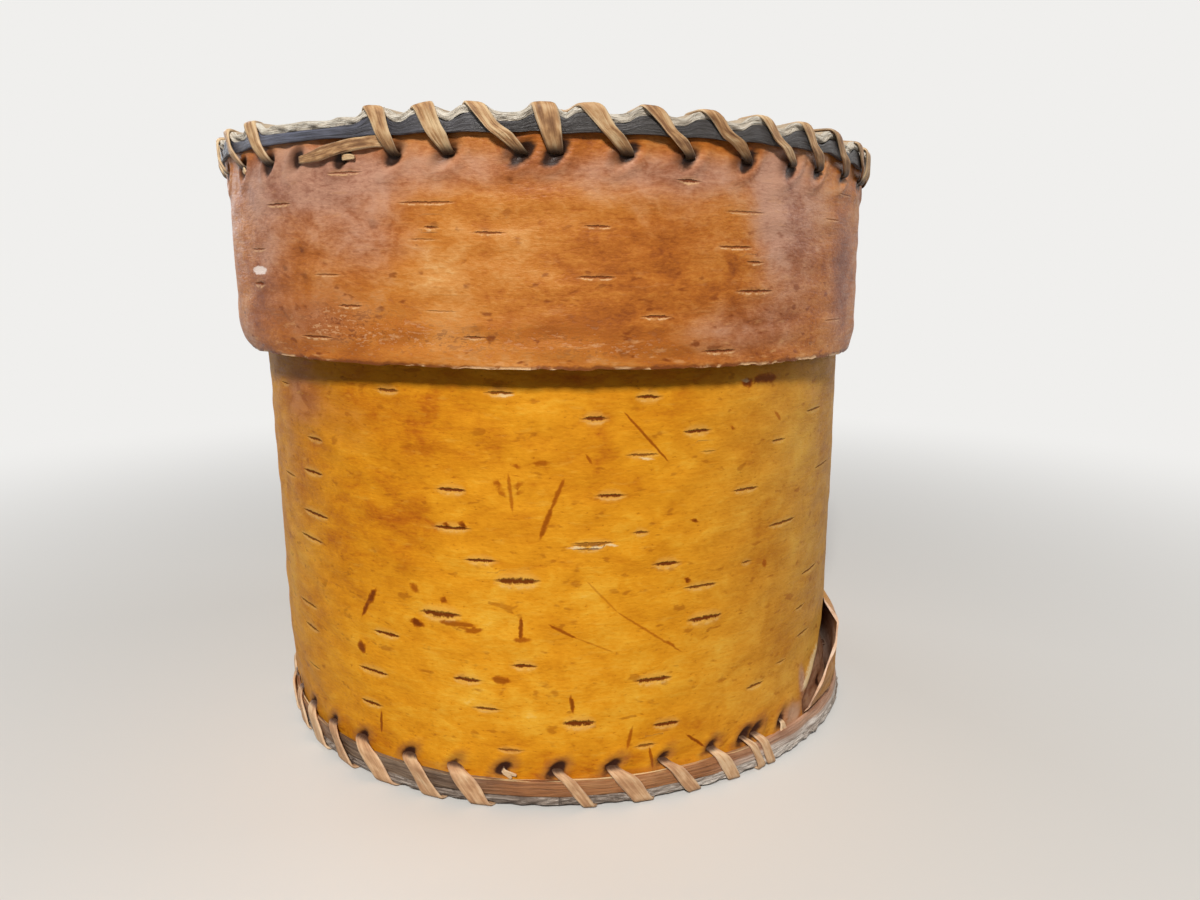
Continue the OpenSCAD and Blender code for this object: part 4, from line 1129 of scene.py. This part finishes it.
def settle_lid(points):
    """The lid sits to the left of the box's axis and drops to the right in proportion to x. Its rim is
    worn lower at the far right, and sags between stitches: a flat-topped bell curve of azimuth round
    each stitch holds it up."""
    az = np.arctan2(points[..., 0], -points[..., 1])
    from_stitch = (az[..., None] - over_rim + np.pi) % (2 * np.pi) - np.pi
    sag = 1 - np.exp(-(from_stitch / HELD_WIDTH) ** 4).max(axis=-1)
    at_rim = smooth(np.hypot(points[..., 0], points[..., 1]), SAG_IN, SAG_OUT)
    at_rim = at_rim * smooth(points[..., 2], SAG_LOW, LID_UNDER)
    worn = smooth(points[..., 0], DROP_IN, DROP_OUT) * smooth(points[..., 2], DROP_LOW, DROP_HIGH)
    moved = points.copy()
    moved[..., 2] -= RIM_SAG * sag * at_rim + RIM_DROP * worn + LID_TILT * points[..., 0]
    moved[..., 0] -= LID_SLIP
    return moved


points, faces, finish, sheet, disc_az = bark_disc(LID_DISC_R, LID_UNDER, LID_HIGH, LID_RAG, seed=91)
lid_disc_face = bark_face("lid_disc_face", dye(150, 122, 96), dye(196, 176, 150), dye(222, 210, 190),
                          fibre_length=0.016, fibre_height=0.0009)
lid_disc_edge = layered_edge("lid_disc_edge", dye(246, 240, 228), dye(214, 202, 184), dye(112, 96, 80),
                             fibre_length=0.012, fibre_height=0.0003)
lid_disc = build("lid_disc", settle_lid(points), faces, [lid_disc_face, lid_disc_edge], finish)
paint(lid_disc, sheet=sheet, tone=0 * disc_az + LID_PALER)
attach(lid_disc, "lid")
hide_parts("lid_top")

# Lid band: a deep band of reddish bark round the disc, half lapped at the back. Its lower edge was
# cut by hand and is ragged, and it curls in at the left. Handling has polished it.
LID_LOW, LID_HOLE_Z = 0.1069, 0.1508
LID_LAP_FRONT, LID_LAP_BACK = 168.0, 192.0
LID_WAVES, LID_GRAIN, LID_WRINKLES, LID_SLIT_W, LID_SLIT_DEEP = 0.00030, 0.00010, 0.00008, 0.00024, 0.00010
# The curl of the lower edge: its height, how far it goes in outside and inside, and where it is
CURL_HIGH, CURL_OUTSIDE, CURL_INSIDE = 0.008, 0.0026, 0.0016
CURL_AZ, CURL_WIDTH, LESS_CURL, LESS_AZ, LESS_WIDTH = 288, 26, 0.5, 436, 20
RAG_HIGH, FINE_RAG, COARSE_RAG, RAG_SLANT, RAG_BEVEL = 0.0022, 0.00013, 0.00016, 0.006, 0.0002
WRINKLE_HIGH, WRINKLE_LEAST, FAR_MAUVE, MAUVE_WAVES = 0.02, 0.15, 0.4, 0.35
GRIME_AND_SHADE_WIDE, GRIME_AND_SHADE_UP, GRIME_AND_SHADE_LEAN = 0.0026, 0.0008, 0.12
lid_lenticels_seen = [
    (279, 206, 20, 0.9), (425, 203, 52, 0.8), (430, 228, 12, 1), (422, 240, 26, 0.5), (488, 233, 30, 0.9),
    (328, 276, 22, 0.7), (350, 307, 22, 0.9), (260, 251, 12, 0.8), (344, 174, 30, 0.8), (690, 180, 22, 1),
    (598, 226, 25, 0.9), (746, 211, 36, 0.7), (736, 246, 32, 0.9), (755, 261, 14, 1), (597, 277, 35, 0.9),
    (755, 290, 33, 1), (656, 316, 25, 1), (833, 218, 12, 0.6), (846, 193, 12, 0.6), (318, 338, 26, 0.9),
    (475, 338, 20, 0.9), (720, 350, 30, 1.1), (440, 312, 30, 0.5), (834, 318, 14, 0.6), (262, 285, 8, 1.6)]
lid_scars_seen = [
    (300, 250, 305, 253, 6, 0.7), (284, 268, 289, 271, 5, 0.6), (303, 276, 309, 279, 6, 0.5),
    (368, 222, 376, 226, 8, 0.35), (508, 178, 512, 184, 5, 0.4), (430, 226, 438, 225, 6, 0.5),
    (618, 352, 626, 354, 6, 0.5), (470, 330, 480, 329, 7, 0.4), (285, 312, 292, 322, 4, 0.4)]
# Tone patches on the lid: the bark's own tone, with a painted highlight at (772, 195) and painted shade down
# the right side at (842, 260)
lid_tone_and_light_seen = [
    (560, 290, 130, 60, 0.08), (430, 290, 40, 40, 0.14), (390, 240, 22, 50, -0.06), (640, 240, 90, 40, -0.08),
    (690, 270, 50, 60, -0.12), (330, 330, 70, 30, 0.02), (260, 320, 30, 40, -0.04), (480, 260, 60, 40, 0.06),
    (560, 200, 80, 40, 0.02), (450, 345, 120, 14, 0.05), (400, 190, 60, 30, 0.16), (480, 225, 60, 50, 0.12),
    (700, 255, 40, 70, 0.08), (560, 325, 80, 26, -0.08), (640, 340, 60, 20, -0.06), (772, 195, 18, 50, 0.22),
    (842, 260, 24, 90, -0.32), (262, 300, 26, 60, -0.22), (640, 262, 50, 36, -0.10),
    (560, 250, 50, 36, -0.10), (480, 262, 50, 30, 0.08), (400, 275, 40, 30, 0.06), (700, 208, 40, 26, 0.14),
    (320, 325, 50, 26, -0.02), (400, 335, 40, 16, -0.12), (560, 318, 60, 26, -0.10),
    (780, 325, 40, 30, -0.10)]
# Mauve-grey patches: the band's own mauve, and painted sheen: the cool sheen at the upper left and the pale
# highlight at (774, 195) on the right
mauve_seen = [
    (300, 180, 90, 40, 0.85), (270, 260, 50, 70, 0.55), (360, 240, 60, 50, 0.5), (800, 230, 50, 90, 0.75),
    (845, 280, 40, 80, 0.6), (740, 330, 70, 40, 0.5), (500, 170, 150, 26, 0.5), (700, 172, 90, 20, 0.4),
    (250, 330, 30, 30, 0.4), (774, 195, 20, 56, 0.7), (320, 325, 50, 26, 0.4), (256, 186, 26, 26, 0.4),
    (690, 205, 40, 40, 0.3)]
scuffs_seen = [
    (335, 325, 55, 26, 1.0), (440, 340, 60, 16, 0.7), (620, 350, 60, 12, 0.6), (560, 335, 40, 14, 0.4)]
WHITE_CHIP, CHIP_STRETCH, CHIP_R, CHIP_DEEP = (262, 272), 3.8, 0.0009, 0.0001

inner_steps, rows_between = 12, 8
z_out = np.linspace(LID_LOW, LID_UNDER, inner_steps * rows_between + 1)
lap_round = LID_LAP_FRONT + 360
turn = np.concatenate([np.arange(LID_LAP_FRONT, LID_LAP_BACK, 1.2), [LID_LAP_BACK, LID_LAP_BACK + 0.2],
                       np.arange(LID_LAP_BACK + 1.5, 281, 1.4), np.arange(281, 441, 0.62),
                       np.arange(441.5, lap_round - 0.3, 1.4), [lap_round - 0.2, lap_round - 0.15],
                       np.arange(lap_round + 1, LID_LAP_BACK + 360.1, 1.2)])
az, r, z, faces, finish = lapped_sheet(turn, z_out, rows_between, LID_R, LID_BARK, LID_LAP_FRONT,
                                       LID_LAP_BACK)
outer_face = np.arange(az.shape[0])[:, None] < len(z_out)
turned = np.radians(az)
unseen_slit = dict(radius=LID_R, length=0.0036, width=(0.0002, 0.00035), slope=0.02, strength=(0.5, 0.9))
arc = np.radians(az) * LID_R
slits = np.concatenate([
    lenticels_on(lid_lenticels_seen, on_lid, LID_R, LID_SLIT_W),
    scattered(32, 170, 280, 0.1105, 0.1455, **unseen_slit),
    scattered(32, 440, 526, 0.1105, 0.1455, **unseen_slit)])
slit, slit_near = marks_over(arc, z, slits)
scar, scar_near = marks_over(arc, z, strokes_on(lid_scars_seen, on_lid, LID_R), reach=0.004, end=0.0008)
# The lid's tone carries that painted highlight and shade as well as its own tone
tone = patches_over(arc, z, lid_tone_and_light_seen, on_lid, LID_R) + TONE_WAVES * ripple(turned, z, 32, 8, 90)
scuff = patches_over(arc, z, scuffs_seen, on_lid, LID_R)
out_of_sight = smooth(np.abs(az - 360), 72, 92)
mauve = patches_over(arc, z, mauve_seen, on_lid, LID_R)
mauve = mauve + out_of_sight * (FAR_MAUVE + MAUVE_WAVES * ripple(turned, z, 33, 6, 60))
holes = from_holes(az, z, lid_hole_az, LID_HOLE_Z, LID_R)
# A soft dark patch just above each hole, shifted the way its stitch leans: painted shadow of the stitch, with
# grime
under_stitch = from_holes(az, z, lid_hole_az + GRIME_AND_SHADE_LEAN * to_next * lid_lean, LID_HOLE_Z + GRIME_AND_SHADE_UP, LID_R)
soot = np.exp(-(under_stitch / GRIME_AND_SHADE_WIDE) ** 2)
chip_az, chip_z = on_lid([WHITE_CHIP])
chip = np.hypot((arc - np.radians(chip_az[0] + 360) * LID_R) / CHIP_STRETCH, z - chip_z[0])
curl = np.exp(-((az - CURL_AZ) / CURL_WIDTH) ** 2) + LESS_CURL * np.exp(-((az - LESS_AZ) / LESS_WIDTH) ** 2)
curl = curl * np.clip((LID_LOW + CURL_HIGH - z) / CURL_HIGH, 0, 1) ** 2
wrinkle = ripple(turned, z, 44, 14, 1500) * np.clip(1 - (z - LID_LOW) / WRINKLE_HIGH, WRINKLE_LEAST, 1)
lipped = along_marks(slit, slit_near, middle=-2.5) - along_marks(slit, slit_near)
unevenness = LID_WAVES * ripple(turned, z, 46, 7, 60)
relief = (unevenness + LID_GRAIN * ripple(turned, z, 45, 40, 1100) + LID_WRINKLES * wrinkle
          + LID_SLIT_DEEP * lipped - CHIP_DEEP * (chip < CHIP_R)
          + punched(holes, rim=0.00045, rim_at=0.0030, rim_width=0.0013))
r = r + np.where(outer_face, relief - CURL_OUTSIDE * curl, unevenness - CURL_INSIDE * curl)
sheet = np.stack(np.broadcast_arrays(arc, z, r), axis=-1)
rag = (FINE_RAG * ripple(turned, 0 * z, 47, 170, 0) + COARSE_RAG * ripple(turned, 0 * z, 48, 40, 0)
       - RAG_SLANT * LID_R * np.sin(turned))
at_foot = np.clip((LID_LOW + RAG_HIGH - z) / RAG_HIGH, 0, 1)
z = z + at_foot * np.where(outer_face, rag, rag - RAG_BEVEL)

lid_finish, tree, shader = new_finish("lid_bark", Specular_IOR_Level=0.16)
grain = grain_of(tree, field(tree, "sheet", "Vector"), fibre_length=0.006, fibre_height=0.0008)
mark, old = marks_of(tree, "slit"), marks_of(tree, "scar")
shade = varied(tree, toned(tree), grain, Clouds=0.8, Blotches=0.7, Fibres=0.13, Grit=0.5)
reddish = shades(tree, shade, [
    (0.0, dye(108, 52, 24)), (0.25, dye(150, 80, 30)), (0.45, dye(181, 104, 38)), (0.62, dye(201, 126, 52)),
    (0.82, dye(216, 150, 82)), (1.0, dye(232, 182, 118))])
mauve_and_sheen_colour = between(tree, shade, 0.25, 0.75, dye(140, 90, 72), dye(200, 154, 134))
mauve_and_sheen_share = varied(tree, field(tree, "mauve"), grain, Clouds=0.8, Blotches=0.4)
height_up = add(tree, "ShaderNodeSeparateXYZ", {0: field(tree, "sheet", "Vector")}).outputs["Y"]
freckled = ease(tree, height_up, LID_LOW + 0.044, LID_LOW + 0.006, 0.22, 0.8)
scuffed = ease(tree, height_up, LID_LOW + 0.014, LID_LOW + 0.002, 0.3, 1.0)
cracks = varied(tree, 0.5, grain, Grit=1.5, Blotches=1.1)
torn_edge = varied(tree, height_up, grain, Blotches=0.0010, Grit=0.0008)
frayed = ease(tree, torn_edge, LID_LOW + 0.0008, LID_LOW + 0.0002, 0.0, 0.85)
chipped = varied(tree, field(tree, "chip"), grain, Blotches=0.0012, Grit=0.0010)
sooty = varied(tree, field(tree, "soot"), grain, Clouds=0.5, Blotches=0.5)
near_hole = varied(tree, field(tree, "holes"), grain, Clouds=0.004, Blotches=0.0025)
colour = laid_over(tree, reddish, [
    # Mauve-grey: the band's own mauve, with painted sheen at the upper left and on the right
    (ease(tree, mauve_and_sheen_share, 0.1, 0.9, 0.0, 0.85), mauve_and_sheen_colour),
    (share_of(tree, grain["Specks"], freckled), dye(128, 60, 18)),
    (share_of(tree, grain["Flecks"], share_of(tree, scuffed, 0.5)), dye(228, 170, 112)),
    (share_of(tree, ease(tree, cracks, 0.50, 0.72, 0.0, 0.8), field(tree, "scuff")), dye(118, 58, 30)),
    (share_of(tree, ease(tree, cracks, 0.36, 0.22, 0.0, 0.7), field(tree, "scuff")), dye(226, 172, 124)),
    (ease(tree, torn_edge, LID_LOW + 0.0011, LID_LOW + 0.0002, 0.0, 0.75), dye(96, 48, 22)),
    (share_of(tree, frayed, ease(tree, grain["Blotches"], 0.50, 0.60)), dye(236, 194, 146)),
    (share_of(tree, mark["Halo"], 0.15), dye(232, 180, 120)),
    (share_of(tree, old["Stain"], 0.85), dye(92, 42, 18)),
    # Painted highlight on the lower lip of each lenticel
    (share_of(tree, mark["Lip_highlight"], 0.8), dye(240, 196, 146)),
    (share_of(tree, mark["Slit"], 0.9), dye(112, 46, 8)),
    (ease(tree, chipped, 0.0012, 0.0009), dye(252, 232, 222)),
    # Painted shadow under the stitches, with grime
    (ease(tree, sooty, 0.15, 1.0, 0.0, 0.8), dye(78, 42, 24)),
    # Painted shade: dark in each awl hole, which is only a dent
    (ease(tree, near_hole, 0.0024, 0.0013), dye(46, 24, 12))])
marked_surface(tree, shader, colour, grain, mark["Slit"], 0.34, 0.50, Fibres=0.3, Grit=0.5, Blotches=0.3)
lid_lining = bark_face("lid_lining", dye(124, 80, 50), dye(164, 116, 76), dye(192, 148, 104),
                       fibre_length=0.014, fibre_height=0.0008, vector="sheet")
lid_edge = bark_face("lid_bark_edge", dye(84, 44, 22), dye(140, 84, 44), dye(224, 174, 116),
                     fibre_length=0.004, fibre_height=0.0012)
lid_band = build("lid_sheet", settle_lid(polar(r, turned, z)), faces, [lid_finish, lid_lining, lid_edge],
                 finish)
paint(lid_band, sheet=sheet, slit=slit, slit_near=slit_near, scar=scar, scar_near=scar_near, tone=tone,
      mauve=mauve, scuff=scuff, holes=holes, soot=soot, chip=chip)
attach(lid_band, "lid")
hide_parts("lid_band")

# Dark strip: a strip of blackened bark round the top of the lid band, under the disc's edge.
# It is charcoal, with a bluish sheen painted into its colour at the front left, and its edges wander.
LID_STRIP = (0.0901, 0.0914, 0.1548, 0.1584)
BLUISH_SHEEN_AZ, BLUISH_SHEEN_WIDTH = 318, 22
points, faces, sheet, strip_rise = bark_strip(*LID_STRIP, wave=0.00022, seed=101)
dark_strip_finish = strip_finish(
    "dark_strip", bark=[dye(28, 24, 22), dye(54, 49, 47), dye(96, 94, 96)],
    aged_and_sheen=[dye(40, 40, 46), dye(106, 110, 130)], edge=dye(120, 112, 104), edge_from=1.1, gloss=0.5, sheen=0.34)
dark_strip = build("dark_strip", settle_lid(points), faces, [dark_strip_finish])
strip_az = np.degrees(sheet[..., 0] / LID_STRIP[1])
# Painted bluish sheen at the front left
bluish_sheen = np.exp(-((strip_az - BLUISH_SHEEN_AZ) / BLUISH_SHEEN_WIDTH) ** 2)
paint(dark_strip, sheet=sheet, rise=strip_rise, tone=bluish_sheen, worn=0 * strip_rise)
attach(dark_strip, "lid")
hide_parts("lid_hoop")

# Lid lacing: three split roots whipped over the dark strip and the disc's edge, going round to the
# left. Their lower ends pinch into puckered awl holes, and two stitches are lost at the left.
LID_ROOT_T, LID_ROOTS, LID_START, LID_LOOPS, LID_WIDE = 0.0008, 3, -6, 14, (0.66, 0.84)
LID_IN, LID_HOLE_R = LID_R - LID_BARK, 0.0845
LID_STUMP_W, LID_STUMP_IN = 0.0016, 0.0012
lid_stitch = np.array([
    [LID_R + ROOT_LIFT, LID_HOLE_Z, 0.0, ROOT_PINCH, 1],
    [LID_STRIP[1] + ROOT_LIFT, LID_STRIP[2] - ROOT_LIFT, 0.24, ROOT_W * ROOT_SLANT, 0],
    [LID_STRIP[1] + ROOT_LIFT, LID_HIGH + 0.5 * ROOT_LIFT, 0.6, ROOT_W * ROOT_SLANT * 1.3, 0],
    [LID_HOLE_R, LID_HIGH + 0.3 * ROOT_LIFT, 0.85, ROOT_PINCH, 0.6],
    [LID_HOLE_R, LID_UNDER - ROOT_LIFT, 0.85, ROOT_PINCH, 0.6],
    [LID_IN - ROOT_LIFT, LID_UNDER - ROOT_LIFT, 0.9, ROOT_W, 0],
    [LID_IN - ROOT_LIFT, LID_HOLE_Z, 1.0, ROOT_PINCH, 1]])
lid_root = root_finish("lid_root", dye(120, 82, 52), dye(186, 142, 98), dye(224, 192, 148),
                       edge=dye(240, 218, 182), hole=dye(46, 30, 20), outlined=0.45, rough_low=0.4)
lid_stumps = {2: [(-4, 0.0036, 0.0002), (-7, 0.0014, 0.0012)]}
for k in range(LID_ROOTS):
    number = LID_START - LID_LOOPS * k - np.arange(LID_LOOPS + 1) + LID_HOLES // 2
    holes_used = lid_hole_az[number % LID_HOLES] + 360 * (number // LID_HOLES)
    wide = np.random.default_rng(107 + k).uniform(*LID_WIDE, LID_LOOPS)
    leans = lid_lean[number[:-1] % LID_HOLES]
    broken = k == LID_ROOTS - 1
    course = root_course(lid_stitch, holes_used, -TUCK, broken, 110 + k, leans, wide)
    parts = [drawn_root(course, LID_ROOT_T, 113 + k)]
    parts += [stump(lid_hole_az[i + LID_HOLES // 2], LID_HOLE_Z, LID_R - LID_STUMP_IN, LID_R, run, drop,
                    LID_STUMP_W)
              for i, run, drop in lid_stumps.get(k, [])]
    points, faces, fields = joined(parts)
    piece = build(f"lid_root_{k + 1}", settle_lid(points), faces, [lid_root], sharp=70)
    paint(piece, **fields)
    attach(piece, "lid")
    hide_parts(f"lid_lacing_{k + 1}")

# Loose root end: what is left of a broken stitch comes out of its hole and lies along the lid band
# to the right, rising a little towards its torn tip.
TAIL_L, TAIL_RISE, TAIL_T, TAIL_POINTS, TAIL_HOLE = 0.0255, 0.0028, 0.0008, 60, -5
TAIL_INSET, TAIL_BOW, TAIL_W, TAIL_WIDER = 0.0002, 0.0006, 0.0014, 0.0014
tail_az = lid_hole_az[lid_index == TAIL_HOLE][0]
t = np.linspace(0, 1, TAIL_POINTS)
reach_out = smooth(t, 0.0, 0.16)
tail_turn = np.radians(tail_az) + TAIL_L / LID_R * np.clip((t - 0.08) / 0.92, 0, 1)
tail_r = LID_IN + TAIL_INSET + (LID_BARK + ROOT_LIFT - TAIL_INSET) * reach_out
tail_r = tail_r + TAIL_BOW * np.sin(np.pi * t) ** 2
corner = polar(tail_r, tail_turn, LID_HOLE_Z + TAIL_RISE * smooth(t, 0.1, 0.9))
upright = np.tile([0.0, 0.0, 1.0], (TAIL_POINTS, 1))
width = (TAIL_W + TAIL_WIDER * smooth(t, 0.05, 0.4)) * (1 + 0.05 * np.sin(19 * t))
points, faces, fields = laid_root(corner, width, upright, TAIL_T, 1 - smooth(t, 0.05, 0.25), tone=-0.6)
tail = build("loose_root_end", settle_lid(points), faces, [lid_root], sharp=70)
paint(tail, **fields)
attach(tail, "lid")
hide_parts("lid_root_tail")

# Lid seam: one split root in a short running stitch up the lap at the back of the lid band, in and
# out of four holes, with both ends tucked away inside.
course = seam_course(LID_IN, LID_R, az=180.0, low=0.1149, high=0.1428, count=4, seed=121)
points, faces, fields = drawn_root(course, SEAM_T, 122)
lid_seam = build("lid_seam_root", settle_lid(points), faces, [lid_root], sharp=70)
paint(lid_seam, **fields)
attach(lid_seam, "lid")
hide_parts("lid_seam_lacing")

# Studio: a plain pale floor that fades into a white ground, soft daylight all round, a lamp up at the
# front left, and weaker ones at the right and behind.
FLOOR_R, FLOOR_RINGS, FLOOR_STEPS, FADE_FROM, FADE_TO = 6.0, 40, 96, 0.12, 0.55
SKY_LIGHT = 0.12
floor_r = np.linspace(0.02, 1, FLOOR_RINGS)[:, None] ** 2 * FLOOR_R
floor_ring = polar(floor_r, np.linspace(0, 2 * np.pi, FLOOR_STEPS, endpoint=False)[None, :], 0.0)
floor_points = np.concatenate([floor_ring.reshape(-1, 3), [[0, 0, 0]]])


def seen_rays(tree):
    """1 for rays from the camera, and for those mirrored or passed on by the object."""
    path = add(tree, "ShaderNodeLightPath", {}).outputs
    passed = calc(tree, "MAXIMUM", path["Is Glossy Ray"], path["Is Transmission Ray"])
    return calc(tree, "MAXIMUM", path["Is Camera Ray"], passed)


floor_finish, tree, shader = new_finish("pale_floor", Roughness=0.9, Specular_IOR_Level=0.1)
distance = add(tree, "ShaderNodeVectorMath", {0: object_place(tree)}, operation="LENGTH").outputs["Value"]
seen = seen_rays(tree)
tree.links.new(tint(tree, seen, dye(128, 126, 123), dye(228, 227, 225)), shader.inputs["Base Color"])
ground = add(tree, "ShaderNodeEmission", {"Color": dye(240, 239, 237), "Strength": 1.0})
away = calc(tree, "MULTIPLY", ease(tree, distance, FADE_FROM, FADE_TO), seen)
faded = add(tree, "ShaderNodeMixShader", {0: away, 1: shader.outputs[0], 2: ground.outputs[0]})
tree.links.new(faded.outputs[0], tree.nodes["Material Output"].inputs["Surface"])
floor_faces = [quads(FLOOR_RINGS, FLOOR_STEPS, join_cols=True)[:, ::-1],
               fan(np.arange(FLOOR_STEPS), FLOOR_RINGS * FLOOR_STEPS)]
floor = build("floor", floor_points, floor_faces, [floor_finish])

world = bpy.data.worlds.new("studio")
world.use_nodes = True
sky = world.node_tree
backdrop = sky.nodes["Background"].inputs
backdrop["Color"].default_value = dye(240, 239, 237)
# Seen at full strength, but a weak light
sky.links.new(calc(sky, "MULTIPLY_ADD", seen_rays(sky), 1 - SKY_LIGHT, SKY_LIGHT), backdrop["Strength"])
scene.world = world


def lamp(name, place, aim, size, power, colour):
    """A square soft lamp that faces a point."""
    light = bpy.data.lights.new(name, "AREA")
    light.size = size
    light.energy = power
    light.color = colour
    holder = bpy.data.objects.new(name, light)
    holder.location = place
    way = unit(np.array(place) - np.array(aim))
    holder.rotation_euler = (np.arccos(way[2]), 0, np.arctan2(way[0], -way[1]))
    scene.collection.objects.link(holder)


lamp("front_lamp", (-0.16, -1.08, 0.98), aim=(0, 0, 0.09), size=0.20, power=19.5, colour=(1.0, 0.97, 0.92))
lamp("right_lamp", (1.00, 0.17, 0.40), aim=(0, 0, 0.12), size=0.40, power=1.8, colour=(1.0, 0.98, 0.96))
lamp("back_lamp", (-0.80, 1.00, 0.55), aim=(0, 0, 0.12), size=0.70, power=4.0, colour=(0.90, 0.94, 1.0))
